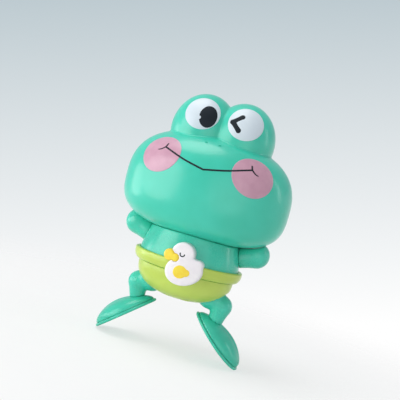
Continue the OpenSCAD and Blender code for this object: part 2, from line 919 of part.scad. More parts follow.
// Clockwork motor
module corners() {
    for (side = [-1, 1]) {
        translate([side * corner_x, case_low + corner_in]) children();
        translate([side * corner_x, case_top - corner_in]) children();
    }
}
module motor_case() {
    half = case_w / 2;
    color("whitesmoke") difference() {
        union() {
            difference() {
                slab(-half, half, case_front, cover_front, case_low, case_top);
                slab(-half + case_wall, half - case_wall, case_inner_front, cover_front + over,
                    case_low + case_wall, case_top - case_wall);
            }
            along_y(case_front, cover_front) intersection() {
                corners() circle(r = corner_boss_r, $fn = small);
                translate([-half, case_low]) square([case_w, case_top - case_low]);
            }
            for (side = [-1, 1]) post(side * trunk_screw_x, trunk_screw_y, case_low,
                case_low + trunk_screw_bite + case_wall / 2, trunk_post_r - fit_gap);
        }
        along_y(cover_front - motor_screw_len, cover_front + over)
            corners() circle(r = motor_screw_r, $fn = small);
        for (side = [-1, 1])
            post(side * trunk_screw_x, trunk_screw_y, case_low - over, case_low + trunk_screw_bite, screw_r);
        rod(0, wheel_z, case_front - over, case_inner_front + over, arbor_dia / 2 + fit_gap);
        rod(0, crank_z, case_front - over, case_inner_front + over, shaft_r + fit_gap);
        rod(0, governor_z, case_front - over, case_inner_front + over, shaft_r + fit_gap);
    }
}
module motor_cover() {
    half = case_w / 2;
    color("gainsboro") difference() {
        union() {
            slab(-half, half, cover_front, cover_y, case_low, case_top);
            along_y(cover_front, cover_y) {
                stroke([-boss_x, boss_z], [boss_x, boss_z], ear_w);
            }
            for (side = [-1, 1], z = [guide_low_z, guide_high_z]) {
                inner = slider_w / 2 + guide_gap;
                slab(min(side * inner, side * (inner + guide_w)), max(side * inner, side * (inner + guide_w)),
                    cover_front, slider_back, z, z + guide_h);
            }
        }
        along_y(cover_front - over, cover_y + over)
            corners() circle(r = motor_screw_r + fit_gap, $fn = small);
        along_y(cover_y - motor_head_sink, cover_y + over)
            corners() circle(r = motor_head_r + fit_gap, $fn = small);
        for (side = [-1, 1])
            rod(side * boss_x, boss_z, 0, cover_y + over, screw_r + ear_hole_gap);
        rod(0, wheel_z, 0, cover_y + over, arbor_dia / 2 + fit_gap);
        rod(0, crank_z, 0, cover_y + over, crank_disc_r + fit_gap);
        rod(0, governor_z, 0, cover_y + over, shaft_r + fit_gap);
    }
}
module motor_screws() {
    color("silver") for (side = [-1, 1], z = [case_low + corner_in, case_top - corner_in])
        translate([side * corner_x, cover_y - motor_head_sink, z]) rotate([-90, 0, 0])
            screw(motor_screw_len - motor_pilot_gap, motor_screw_r, motor_head_r, motor_head_t);
}
module mainspring() {
    color("slategray") translate([0, 0, wheel_z]) along_y(spring_front, spring_back)
        polygon(concat(spiral(0), flip(spiral(spring_t))));
}
module winding_arbor() {
    color("silver") difference() {
        rod(0, wheel_z, case_front, arbor_end, arbor_dia / 2);
        rod(0, wheel_z, arbor_end - knob_screw_len, arbor_end + over, knob_screw_r);
    }
}
module great_wheel() {
    color("gold") difference() {
        translate([0, 0, wheel_z]) along_y(wheel_front, wheel_back)
            polygon(gear(wheel_teeth, wheel_r, 90));
        rod(0, wheel_z, wheel_front - over, wheel_back + over, arbor_dia / 2);
    }
}
module winding_knob() {
    grip_x = (knob_dia - knob_grip_w) / 2;
    color(lime) difference() {
        union() {
            rod(0, wheel_z, knob_front, knob_front + knob_plate_t, knob_dia / 2);
            rod(0, wheel_z, knob_front, knob_back, knob_hub_r);
            along_y(knob_front, knob_back) translate([0, wheel_z])
                stroke([-grip_x, 0], [grip_x, 0], knob_grip_w);
        }
        rod(0, wheel_z, knob_front - over, arbor_end, arbor_dia / 2);
        rod(0, wheel_z, arbor_end - over, knob_back + over, screw_head_r);
    }
}
module knob_screw() {
    color("silver") translate([0, arbor_end, wheel_z]) rotate([-90, 0, 0])
        screw(knob_screw_len - fit_gap, knob_screw_r, screw_head_r - fit_gap, screw_head_t - fit_gap);
}
module shaft_seal() {
    back = band_r * body_share;
    color("dimgray") difference() {
        rod(0, wheel_z, seal_in_y, back, seal_r);
        rod(0, wheel_z, seal_in_y - over, back + over, arbor_dia / 2 + seal_run);
    }
}
module pinion(z, phase) {
    translate([0, 0, z]) along_y(pinion_front, pinion_back) polygon(gear(pinion_teeth, pinion_r, phase));
}
module crank_gear() {
    color("white") union() {
        rod(0, crank_z, case_front, pinion_back, shaft_r);
        pinion(crank_z, 180 / pinion_teeth - 90);
        rod(0, crank_z, pinion_back, cover_y - fit_gap, crank_disc_r);
        rod(crank_r * cos(crank_rest), crank_pin_z, 0, slider_front - run_gap, crank_pin_r);
    }
}
module governor_wheel() {
    color("white") union() {
        rod(0, governor_z, case_front, cover_y - fit_gap, shaft_r);
        pinion(governor_z, 90 + 180 / pinion_teeth);
        rod(0, governor_z, pinion_back + governor_gap, pinion_back + governor_gap + governor_t, governor_r);
    }
}
module kick_slider() {
    tall = crank_pin_r + slot_gap + slot_bar;
    wing = lever_x + wing_reach;
    slot = 2 * (crank_pin_r + slot_gap);
    color("orange") along_y(slider_front, slider_back) difference() {
        union() {
            translate([-slider_w / 2, lever_z - tall])
                square([slider_w, crank_pin_z - lever_z + 2 * tall]);
            translate([-wing, lever_z - tall]) square([2 * wing, 2 * tall]);
        }
        stroke([-crank_r - slot_gap, crank_pin_z], [crank_r + slot_gap, crank_pin_z], slot);
        stroke([0, wheel_z - lever_arm * leg_in * degree_share],
            [0, wheel_z + lever_arm * leg_out * degree_share], arbor_dia + 2 * window_gap);
        for (side = [-1, 1]) stroke([side * (lever_x - slot_in), lever_z],
            [side * (lever_x + slot_out), lever_z], slot);
    }
}
module hip_pins() {
    color("silver") for (side = [-1, 1]) rod(side * hip_x, hip_z, pin_front, pin_rear, pin_dia / 2);
}

// Flippers are drawn flat, toe at the origin, heel along +X, dome upwards
module on_foot(side) {
    on_side(side) translate([toe_x, 0, 0]) rotate([0, foot_angle - 180, 0]) mirror([0, 0, 1]) children();
}
function leaf(g) = let (len = foot_len + 2 * g, w = foot_w / 2 + g)
    [for (i = [0:foot_steps]) let (t = i / foot_steps)
        [w * pow(sin(180 * pow(t, leaf_skew)), leaf_power), len * t - g]];
module leaf_form(g) {
    edge = leaf(g);
    polygon([for (i = [0:2 * foot_steps - 1])
        let (p = edge[i < foot_steps ? i : 2 * foot_steps - i]) [p.y, (i < foot_steps ? 1 : -1) * p.x]]);
}
module foot_dome(g) {
    translate([0, 0, sole_t]) scale([1, 1, (foot_h - sole_t + g) / (foot_w / 2 - rim_in + g)])
        rotate([0, 90, 0]) rotate_extrude($fn = medium) polygon(leaf(g - rim_in));
}
module foot_rib() {
    half = foot_len * rib_half_share;
    translate([foot_len * rib_mid_share, 0, sole_t])
        scale([1, rib_half_w / half, (foot_h - sole_t + rib_tall) / half])
            sphere(r = half, $fn = medium);
}
function ankle_point(up) = let (t = foot_len * (1 - ankle_share))
    [toe_x - t * cos(foot_angle) + up * sin(foot_angle), 0,
        t * sin(foot_angle) + up * cos(foot_angle)];
module leg(side) {
    hip = [hip_x, 0, hip_z];
    knee = [knee_x, 0, knee_z];
    color(skin) on_side(side) difference() {
        union() {
            intersection() {
                translate(hip) sphere(r = hub_r, $fn = medium);
                slab(-far, far, hub_front, -hub_front, 0, far);
            }
            limb(hip, knee, thigh_r, knee_r);
            limb(knee, ankle_point(foot_h - ankle_sink), knee_r, shin_r);
            along_y(lever_front, lever_front + lever_t)
                stroke([hip_x, hip_z], [lever_x, lever_z], lever_w);
            rod(lever_x, lever_z, lever_front, slider_back + fit_gap, crank_pin_r);
            thigh_rings();
        }
        rod(hip_x, hip_z, -body_d, body_d, pin_dia / 2 + fit_gap);
        on_foot(1) foot_dome(fit_gap);
    }
}
module thigh_rings() {
    for (p = [[knee_x + ring_r, knee_z + ring_r], [knee_x, knee_z - 2 * ring_r]])
        difference() {
            rod(p.x, p.y, -knee_r - ring_tall / 2, 0, ring_r);
            rod(p.x, p.y, -knee_r - over, -knee_r + ring_tall / 2, ring_r - ring_w);
        }
}
module flipper(side) {
    color(skin_dark) on_foot(side) difference() {
        union() {
            foot_dome(0);
            foot_rib();
        }
        foot_dome(-foot_wall);
        slab(-over, foot_len + over, -foot_w, foot_w, -foot_w, sole_t);
    }
}
module sole(side) {
    color(skin_dark) on_foot(side) linear_extrude(sole_t) leaf_form(0);
}

head_shell();
neck_plug();
squeaker_case();
squeaker_reed();
squeaker_cap();
neck_screws();
eye_white(-1);  // eye_white_left
eye_white(1);  // eye_white_right
eye_ink(-1);  // pupil
eye_ink(1);  // wink_mark
cheek(-1);  // cheek_left
cheek(1);  // cheek_right
mouth_line();
torso_front();
torso_rear();
torso_screws();
arm(-1);  // arm_left
arm(1);  // arm_right
trunks();
trunk_screws();
duck_badge();
duck_bill();
duck_wing();
duck_eye();
motor_case();
motor_cover();
motor_screws();
mainspring();
winding_arbor();
great_wheel();
winding_knob();
knob_screw();
shaft_seal();
crank_gear();
governor_wheel();
kick_slider();
hip_pins();
leg(-1);  // leg_left
leg(1);  // leg_right
flipper(-1);  // flipper_left
flipper(1);  // flipper_right
sole(-1);  // sole_left
sole(1);  // sole_right
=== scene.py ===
import math

import bpy
import numpy as np
from mathutils import Matrix, Vector
from mathutils.geometry import delaunay_2d_cdt


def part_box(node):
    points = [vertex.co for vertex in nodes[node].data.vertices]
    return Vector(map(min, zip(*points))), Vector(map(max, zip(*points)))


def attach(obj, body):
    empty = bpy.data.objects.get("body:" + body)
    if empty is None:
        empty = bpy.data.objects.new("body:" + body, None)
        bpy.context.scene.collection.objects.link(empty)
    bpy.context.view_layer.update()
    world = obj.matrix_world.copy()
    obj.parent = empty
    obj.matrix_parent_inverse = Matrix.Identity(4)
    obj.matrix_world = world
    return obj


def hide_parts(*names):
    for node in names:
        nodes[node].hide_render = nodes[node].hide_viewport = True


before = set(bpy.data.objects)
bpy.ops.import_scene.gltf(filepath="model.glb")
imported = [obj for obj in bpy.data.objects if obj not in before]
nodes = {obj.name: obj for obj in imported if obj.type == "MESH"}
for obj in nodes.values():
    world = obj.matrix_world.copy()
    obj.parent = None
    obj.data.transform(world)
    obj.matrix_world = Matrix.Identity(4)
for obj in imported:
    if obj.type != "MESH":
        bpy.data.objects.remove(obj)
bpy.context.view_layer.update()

mm = 0.001
coarser = 1.0  # wider mesh steps while trying things


# Numbers, distances and outlines, all in millimetres. The face looks along -Y.

def softMin(a, b, k):
    h = np.maximum(k - np.abs(a - b), 0) / k
    return np.minimum(a, b) - h * h * k / 4


def softMax(a, b, k):
    return -softMin(-a, -b, k)


def ball(p, centre, radius):
    return np.linalg.norm(p - np.array(centre), axis=1) - radius


def ellipsoid(p, centre, half):
    q = (p - np.array(centre)) / np.array(half)
    one = np.maximum(np.linalg.norm(q, axis=1), 1e-6)
    two = np.maximum(np.linalg.norm(q / np.array(half), axis=1), 1e-6)
    return one * (one - 1) / two


def bone(p, a, b, ra, rb):
    a, b = np.array(a, float), np.array(b, float)
    d = b - a
    t = np.clip((p - a) @ d / (d @ d), 0, 1)
    return np.linalg.norm(p - a - t[:, None] * d, axis=1) - (ra + (rb - ra) * t)


def slabY(p, low, high):
    return np.maximum(low - p[:, 1], p[:, 1] - high)


def rodY(p, x, z, low, high, radius, k=0.0):
    side, ends = np.hypot(p[:, 0] - x, p[:, 2] - z) - radius, slabY(p, low, high)
    return softMax(side, ends, k) if k else np.maximum(side, ends)


def rodZ(p, x, y, low, high, radius):
    side = np.hypot(p[:, 0] - x, p[:, 1] - y) - radius
    return np.maximum(side, np.maximum(low - p[:, 2], p[:, 2] - high))


def barY(p, a, b, width, low, high, k):  # a flat bar with round ends, between two depths
    a, b = np.array(a, float), np.array(b, float)
    q, d = p[:, [0, 2]] - a, b - a
    t = np.clip(q @ d / (d @ d), 0, 1)
    return softMax(np.linalg.norm(q - t[:, None] * d, axis=1) - width / 2, slabY(p, low, high), k)


def ovalFlat(u, v, x, y, wide, tall):
    a, b = wide / 2, tall / 2
    one = np.maximum(np.hypot((u - x) / a, (v - y) / b), 1e-6)
    two = np.maximum(np.hypot((u - x) / a ** 2, (v - y) / b ** 2), 1e-6)
    return one * (one - 1) / two


def quarter(wide, tall, power, steps=40):  # from the side to the top of a squashed circle
    a = np.radians(np.linspace(0, 90, steps + 1))
    return np.stack([wide * np.cos(a) ** (2 / power), tall * np.sin(a) ** (2 / power)], 1)


def arc(x, y, radius, start, end, steps=10):
    a = np.radians(np.linspace(start, end, steps + 1))
    return np.stack([x + radius * np.cos(a), y + radius * np.sin(a)], 1)


class Outline:
    # distance to a closed outline that is mirrored in its axis, looked up in a table
    def __init__(self, points, gap=0.1, pad=2.5):
        half = np.array(points, float)
        loop = np.concatenate([half, half[::-1] * [-1, 1]])
        self.gap, self.low = gap, np.array([-2 * gap, half[:, 1].min() - pad])
        high = half.max(0) + pad
        u = np.arange(self.low[0], high[0], gap)
        v = np.arange(self.low[1], high[1], gap)
        grid = np.stack(np.meshgrid(u, v, indexing="ij"), -1).reshape(-1, 2)
        near = np.full(len(grid), 1e9)
        inside = np.zeros(len(grid), bool)
        for a, b in zip(loop, np.roll(loop, -1, 0)):
            d = b - a
            if d @ d < 1e-12:
                continue
            q = grid - a
            t = np.clip(q @ d / (d @ d), 0, 1)
            near = np.minimum(near, np.linalg.norm(q - t[:, None] * d, axis=1))
            if a[1] != b[1]:
                crossing = (a[1] > grid[:, 1]) != (b[1] > grid[:, 1])
                inside ^= crossing & (grid[:, 0] < a[0] + d[0] * (grid[:, 1] - a[1]) / d[1])
        self.table = np.where(inside, -near, near).reshape(len(u), len(v))
        self.last = np.array(self.table.shape) - 2

    def __call__(self, u, v):
        spot = (np.stack([np.abs(u), v], 1) - self.low) / self.gap
        held = np.clip(spot, 0, self.last + 0.999)
        beyond = np.linalg.norm(spot - held, axis=1) * self.gap
        i = held.astype(int)
        f = held - i
        t = self.table
        low = t[i[:, 0], i[:, 1]] * (1 - f[:, 0]) + t[i[:, 0] + 1, i[:, 1]] * f[:, 0]
        top = t[i[:, 0], i[:, 1] + 1] * (1 - f[:, 0]) + t[i[:, 0] + 1, i[:, 1] + 1] * f[:, 0]
        return low * (1 - f[:, 1]) + top * f[:, 1] + beyond


def slope(field, p, h=0.02):
    d = field(p)
    return d, np.stack([(field(p + h * e) - d) / h for e in np.eye(3)], 1)


def even(field, p):  # a field whose steps are about one millimetre per millimetre
    d, grad = slope(field, p)
    return d / np.maximum(np.linalg.norm(grad, axis=1), 0.2)


# Meshes.

def placed(name, data):
    piece = bpy.data.objects.new(name, data)
    bpy.context.scene.collection.objects.link(piece)
    return piece


def meshPiece(name, points, faces, smooth=35):
    mesh = bpy.data.meshes.new(name)
    mesh.from_pydata((np.asarray(points) * mm).tolist(), [], [list(map(int, f)) for f in faces])
    mesh.validate()
    mesh.update()
    piece = placed(name, mesh)
    softShade(piece, smooth)
    return piece


def softShade(piece, smooth):
    piece.data.polygons.foreach_set("use_smooth", [True] * len(piece.data.polygons))
    piece.data.set_sharp_from_angle(angle=math.radians(smooth))


skin = dict(block=4, margin=1.3, batch=300000, evened=2, drawn=2)
cellCorners = [(a, b, c) for a in (0, 1) for b in (0, 1) for c in (0, 1)]


def shifted(start, size):
    return tuple(slice(a, a + n) for a, n in zip(start, size))


def moulded(field, low, high, step):
    # skins a distance field: one point per cell that the surface crosses, then drawn onto it
    step *= coarser
    low, block = np.array(low, float), skin["block"]
    size = step * block
    cells = np.ceil((np.array(high, float) - low) / size).astype(int)
    corners = np.stack(np.meshgrid(*[low[i] + size * np.arange(cells[i] + 1) for i in range(3)],
                                   indexing="ij"), -1)
    rough = field(corners.reshape(-1, 3)).reshape(corners.shape[:3])
    close = np.abs(rough) < size * skin["margin"]
    wanted = np.zeros(tuple(cells), bool)
    for corner in cellCorners:
        wanted |= close[shifted(corner, cells)]
    shape = cells * block + 1
    full, mask = np.ones(tuple(shape)), np.zeros(tuple(shape), bool)
    spread = rough[:-1, :-1, :-1].repeat(block, 0).repeat(block, 1).repeat(block, 2)
    full[:-1, :-1, :-1] = spread
    fine = wanted.repeat(block, 0).repeat(block, 1).repeat(block, 2)
    for corner in cellCorners:
        mask[shifted(corner, shape - 1)] |= fine
    spots = np.argwhere(mask)
    full[mask] = np.concatenate([field(low + step * part) for part in
                                 np.array_split(spots, max(1, len(spots) // skin["batch"]))])
    inside = full < 0
    count = np.zeros(tuple(shape - 1), int)
    for corner in cellCorners:
        count += inside[shifted(corner, shape - 1)]
    crossed = (count > 0) & (count < 8)
    number = np.full(crossed.shape, -1)
    number[crossed] = np.arange(crossed.sum())
    cell = np.argwhere(crossed)
    total, hits = np.zeros((len(cell), 3)), np.zeros(len(cell))
    unit = np.eye(3, dtype=int)
    for axis in range(3):
        for a in (0, 1):
            for b in (0, 1):
                p = cell + a * unit[(axis + 1) % 3] + b * unit[(axis + 2) % 3]
                q = p + unit[axis]
                f, g = full[tuple(p.T)], full[tuple(q.T)]
                cut = (f < 0) != (g < 0)
                t = np.where(cut, f / np.where(cut, f - g, 1), 0)
                total[cut] += (p + t[:, None] * unit[axis])[cut]
                hits[cut] += 1
    points = low + step * total / hits[:, None]
    faces = []
    for axis in range(3):
        ub, uc = unit[(axis + 1) % 3], unit[(axis + 2) % 3]
        first = inside[tuple(slice(0, -1) if i == axis else slice(None) for i in range(3))]
        second = inside[tuple(slice(1, None) if i == axis else slice(None) for i in range(3))]
        p = np.argwhere(first != second)
        p = p[((p - ub - uc) >= 0).all(1) & (p < shape - 1).all(1)]
        quad = np.stack([number[tuple(q.T)] for q in (p, p - ub, p - ub - uc, p - uc)], 1)
        out = first[tuple(p.T)]
        faces.append(np.where(out[:, None], quad, quad[:, ::-1]))
    faces = np.concatenate(faces)
    faces = faces[(faces >= 0).all(1)]
    edges = np.concatenate([faces[:, [i, (i + 1) % 4]] for i in range(4)])
    for turn in range(skin["evened"]):
        around, met = np.zeros_like(points), np.zeros(len(points))
        np.add.at(around, edges[:, 0], points[edges[:, 1]])
        np.add.at(met, edges[:, 0], 1)
        points = points * 0.5 + around / np.maximum(met, 1)[:, None] * 0.5
        for again in range(skin["drawn"]):
            d, grad = slope(field, points)
            move = -(d / np.maximum((grad ** 2).sum(1), 0.1))[:, None] * grad
            length = np.linalg.norm(move, axis=1)
            points += move * np.minimum(1, 0.5 * step / np.maximum(length, 1e-9))[:, None]
    return points, faces


def mouldedPiece(name, field, low, high, step, smooth=38):
    return meshPiece(name, *moulded(field, low, high, step), smooth=smooth)


def mirrored(piece, name):
    mesh = piece.data.copy()
    mesh.name = name
    mesh.transform(Matrix.Scale(-1, 4, (1, 0, 0)))
    mesh.flip_normals()
    return placed(name, mesh)


def carve(piece, cutter, smooth=38):
    cut = piece.modifiers.new("cut", "BOOLEAN")
    cut.object, cut.operation, cut.solver = cutter, "DIFFERENCE", "MANIFOLD"
    plain(piece)
    bpy.data.objects.remove(cutter)
    softShade(piece, smooth)


def plain(piece):  # the evaluated shape becomes the piece's own mesh
    bpy.context.view_layer.update()
    ready = piece.evaluated_get(bpy.context.evaluated_depsgraph_get())
    made = bpy.data.meshes.new_from_object(ready)
    made.name = piece.name
    piece.modifiers.clear()
    piece.data = made


def settle(piece, body, slot, *stoodFor):
    piece.data.materials.clear()
    piece.data.materials.append(looks[slot])
    for polygon in piece.data.polygons:
        polygon.material_index = 0
    if stoodFor:
        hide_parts(*stoodFor)
    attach(piece, body)
    return piece


def onSurface(field, origin, direction, height, reach=9):
    # walks each point along a direction until the field has the wanted height there
    low, high = np.full(len(origin), -float(reach)), np.full(len(origin), float(reach))
    for turn in range(26):
        middle = (low + high) / 2
        above = field(origin + middle[:, None] * direction) > height
        high, low = np.where(above, middle, high), np.where(above, low, middle)
    return origin + ((low + high) / 2)[:, None] * direction


def inset(loop, distance):
    ahead, behind = np.roll(loop, -1, 0), np.roll(loop, 1, 0)
    one, two = loop - behind, ahead - loop
    one /= np.maximum(np.linalg.norm(one, axis=1), 1e-9)[:, None]
    two /= np.maximum(np.linalg.norm(two, axis=1), 1e-9)[:, None]
    side = np.stack([-(one + two)[:, 1], (one + two)[:, 0]], 1)
    length = np.maximum(np.linalg.norm(side, axis=1), 1e-9)
    spread = np.maximum(length / 2, 0.5)
    return loop + distance * side / (length * spread)[:, None]


def inlay(name, loop, origin, right, up, field, proud, deep, rim=0.2, gap=0.8):
    # a plate let into a curved surface, with a soft rim; loop runs counterclockwise
    right, up = np.array(right, float), np.array(up, float)
    out = np.cross(right, up)
    turns = np.radians([90, 70, 50, 30, 12, 0][::-1])
    rings = [(0.0, -deep)] + [(rim * (1 - math.cos(a)), proud - rim + rim * math.sin(a))
                              for a in turns]
    points, faces, n = [], [], len(loop)
    for k, (shrink, height) in enumerate(rings):
        flat = inset(loop, shrink)
        base = np.array(origin) + flat[:, :1] * right + flat[:, 1:] * up
        if height == -deep:
            top = onSurface(field, base, out, rings[1][1])
            points.append(top - (deep + rings[1][1]) * out)
        else:
            points.append(onSurface(field, base, out, height))
        if k:
            for i in range(n):
                j = (i + 1) % n
                faces.append([(k - 1) * n + i, (k - 1) * n + j, k * n + j, k * n + i])
    last = inset(loop, rings[-1][0])
    low, high = last.min(0), last.max(0)
    u, v = np.meshgrid(np.arange(low[0], high[0], gap), np.arange(low[1], high[1], gap))
    spots = np.stack([u.ravel(), v.ravel()], 1)
    edge = np.linalg.norm(spots[:, None] - last[None], axis=2).min(1)
    inner = spots[edge > gap * 0.6]
    for side, offset in ((1, (len(rings) - 1) * n), (-1, 0)):
        ring = last if side == 1 else loop
        filled = delaunay_2d_cdt([Vector(q) for q in np.concatenate([ring, inner])],
                                 [(i, (i + 1) % n) for i in range(n)], [], 1, 1e-6)
        start = sum(len(q) for q in points)
        order, extra = {}, []
        for i, source in enumerate(filled[3]):
            if source and source[0] < n:
                order[i] = offset + source[0]
            else:
                order[i] = start + len(extra)
                extra.append(filled[0][i])
        if extra:
            flat = np.array([list(q) for q in extra])
            base = np.array(origin) + flat[:, :1] * right + flat[:, 1:] * up
            spot = onSurface(field, base, out, proud if side == 1 else rings[1][1])
            points.append(spot if side == 1 else spot - (deep + rings[1][1]) * out)
        for face in filled[2]:
            if all(i in order for i in face):
                faces.append([order[i] for i in (face if side == 1 else face[::-1])])
    return meshPiece(name, np.concatenate(points), faces)


def around(field, centre, reach, steps=96):
    # the closed outline where a flat field is zero, seen from a point inside it
    loop = []
    for a in np.linspace(0, 2 * math.pi, steps, endpoint=False):
        low, high = 0.0, reach
        for turn in range(30):
            r = (low + high) / 2
            u, v = centre[0] + r * math.cos(a), centre[1] + r * math.sin(a)
            low, high = (low, r) if field(np.array([u]), np.array([v]))[0] > 0 else (r, high)
        loop.append([centre[0] + low * math.cos(a), centre[1] + low * math.sin(a)])
    return np.array(loop)


# Shader and geometry nodes.

class Wire:
    # a socket in a sum: + - * and / add Math nodes, also with the number first
    def __init__(self, flow, socket):
        self.flow, self.socket = flow, socket

    def sum(self, operation, first, second):
        return self.flow.node("ShaderNodeMath", {"operation": operation}, {0: first, 1: second})[0]

    def __add__(self, other): return self.sum("ADD", self, other)
    def __radd__(self, other): return self.sum("ADD", other, self)
    def __sub__(self, other): return self.sum("SUBTRACT", self, other)
    def __rsub__(self, other): return self.sum("SUBTRACT", other, self)
    def __mul__(self, other): return self.sum("MULTIPLY", self, other)
    def __rmul__(self, other): return self.sum("MULTIPLY", other, self)
    def __truediv__(self, other): return self.sum("DIVIDE", self, other)
    def __rtruediv__(self, other): return self.sum("DIVIDE", other, self)
    def least(self, other): return self.sum("MINIMUM", self, other)
    def most(self, other): return self.sum("MAXIMUM", self, other)


class Flow:
    def __init__(self, tree):
        self.tree = tree

    def node(self, kind, settings=None, values=None):
        made = self.tree.nodes.new(kind)
        for key, value in (settings or {}).items():
            if key == "stops":
                ramp = made.color_ramp
                while len(ramp.elements) < len(value):
                    ramp.elements.new(0.5)
                for element, (place, colour) in zip(ramp.elements, value):
                    element.position, element.color = place, colour
            else:
                setattr(made, key, value)
        for key, value in (values or {}).items():
            socket = made.inputs[key]
            if isinstance(value, Wire):
                self.tree.links.new(value.socket, socket)
            else:
                socket.default_value = value
        return [Wire(self, s) for s in made.outputs]

    def noise(self, where, size, detail=2.0, rough=0.5):  # size is that of one patch, in metres
        return self.node("ShaderNodeTexNoise", {}, {"Vector": where, "Scale": 1 / size,
                                                    "Detail": detail, "Roughness": rough})[0]

    def blend(self, amount, first, second):
        return self.node("ShaderNodeMix", {"data_type": "RGBA"}, {0: amount, 6: first, 7: second})[2]

    def step(self, value, low, high):
        return self.node("ShaderNodeMapRange", {"interpolation_type": "SMOOTHSTEP"},
                         {0: value, 1: low, 2: high, 3: 0.0, 4: 1.0})[0]


def paint(code):
    return tuple(c / 12.92 if c <= 0.04045 else ((c + 0.055) / 1.055) ** 2.4
                 for c in (int(code[i:i + 2], 16) / 255 for i in (1, 3, 5))) + (1.0,)


def newLook(name):
    look = bpy.data.materials.new(name)
    look.use_nodes = True
    look.node_tree.nodes.clear()
    return look, Flow(look.node_tree)


def shade(flow, settings, colour, rough, height=None, bumpDepth=0.0, metal=None):
    values = dict(settings)
    values["Base Color"], values["Roughness"] = colour, rough
    if metal is not None:
        values["Metallic"] = metal
    if height is not None:
        values["Normal"] = flow.node("ShaderNodeBump", {}, {"Strength": 1.0, "Distance": bumpDepth,
                                                           "Height": height})[0]
    shaded = flow.node("ShaderNodeBsdfPrincipled", {}, values)[0]
    flow.node("ShaderNodeOutputMaterial", {}, {0: shaded})


pigment = dict(cloud=0.3, low=0.35, high=0.65, speckLow=0.62, speckHigh=0.8, cloudRough=0.08,
               grainRough=0.05, seamHalf=0.00004, seamFade=0.00018, seamTall=0.8, seamRough=0.08,
               glowDeep=0.004, glowReach=(0.5, 1.0, 0.8))
polish = dict(patch=0.006, low=0.45, high=0.75, lineRough=0.16, stainRough=0.15, bump=0.00001)


def plasticLook(name, look):
    # moulded plastic: slow drift of the pigment, fine grain, a soft skin of gloss, a parting line
    made, flow = newLook(name)
    where = flow.node("ShaderNodeTexCoord")[3]
    drift = flow.noise(where, look["drift"], 3.0)
    cloud = flow.noise(where, look["drift"] * pigment["cloud"], 2.0)
    grain = flow.noise(where, look["grain"], 2.0, 0.6)
    mixed = drift * (1 - pigment["cloud"]) + cloud * pigment["cloud"]
    share = flow.step(mixed, pigment["low"], pigment["high"])
    colour = flow.blend(share, paint(look["colour"]), paint(look["deep"]))
    speck = flow.step(grain, pigment["speckLow"], pigment["speckHigh"]) * look.get("speck", 0.06)
    colour = flow.blend(speck, colour, paint(look["pale"]))
    rough = (look["rough"] + (cloud - 0.5) * pigment["cloudRough"]
             + (grain - 0.5) * pigment["grainRough"])
    height = drift * look.get("wave", 1.0) + grain * look.get("grit", 0.08)
    if "seam" in look:
        axes = flow.node("ShaderNodeSeparateXYZ", {}, {0: where})
        off = flow.node("ShaderNodeMath", {"operation": "ABSOLUTE"}, {0: axes[1] - look["seam"]})[0]
        line = 1 - flow.step(off, pigment["seamHalf"], pigment["seamFade"])
        height = height + line * pigment["seamTall"]
        rough = rough + line * pigment["seamRough"]
    settings = {"IOR": look.get("ior", 1.46), "Coat Weight": look.get("coat", 0.0),
                "Coat Roughness": look.get("coatRough", 0.12),
                "Subsurface Weight": look.get("glow", 0.0), "Subsurface Scale": pigment["glowDeep"],
                "Subsurface Radius": pigment["glowReach"]}
    shade(flow, settings, colour, rough, height, look.get("bump", 0.00003))
    return made


def metalLook(name, look):
    # metal with drawn or turned lines, a little tarnish and soft scratches
    made, flow = newLook(name)
    where = flow.node("ShaderNodeTexCoord")[3]
    drawn = flow.node("ShaderNodeMapping", {}, {"Vector": where, "Scale": look["stretch"]})[0]
    lines = flow.noise(drawn, look["line"], 3.0, 0.65)
    stain = flow.noise(where, polish["patch"], 3.0)
    share = flow.step(stain, polish["low"], polish["high"]) * look["stain"]
    colour = flow.blend(share, paint(look["colour"]), paint(look["tarnish"]))
    rough = look["rough"] + (lines - 0.5) * polish["lineRough"] + share * polish["stainRough"]
    shade(flow, {"IOR": 1.5}, colour, rough, lines, polish["bump"], 1.0)
    return made


print("helpers ready")

# Finishes.

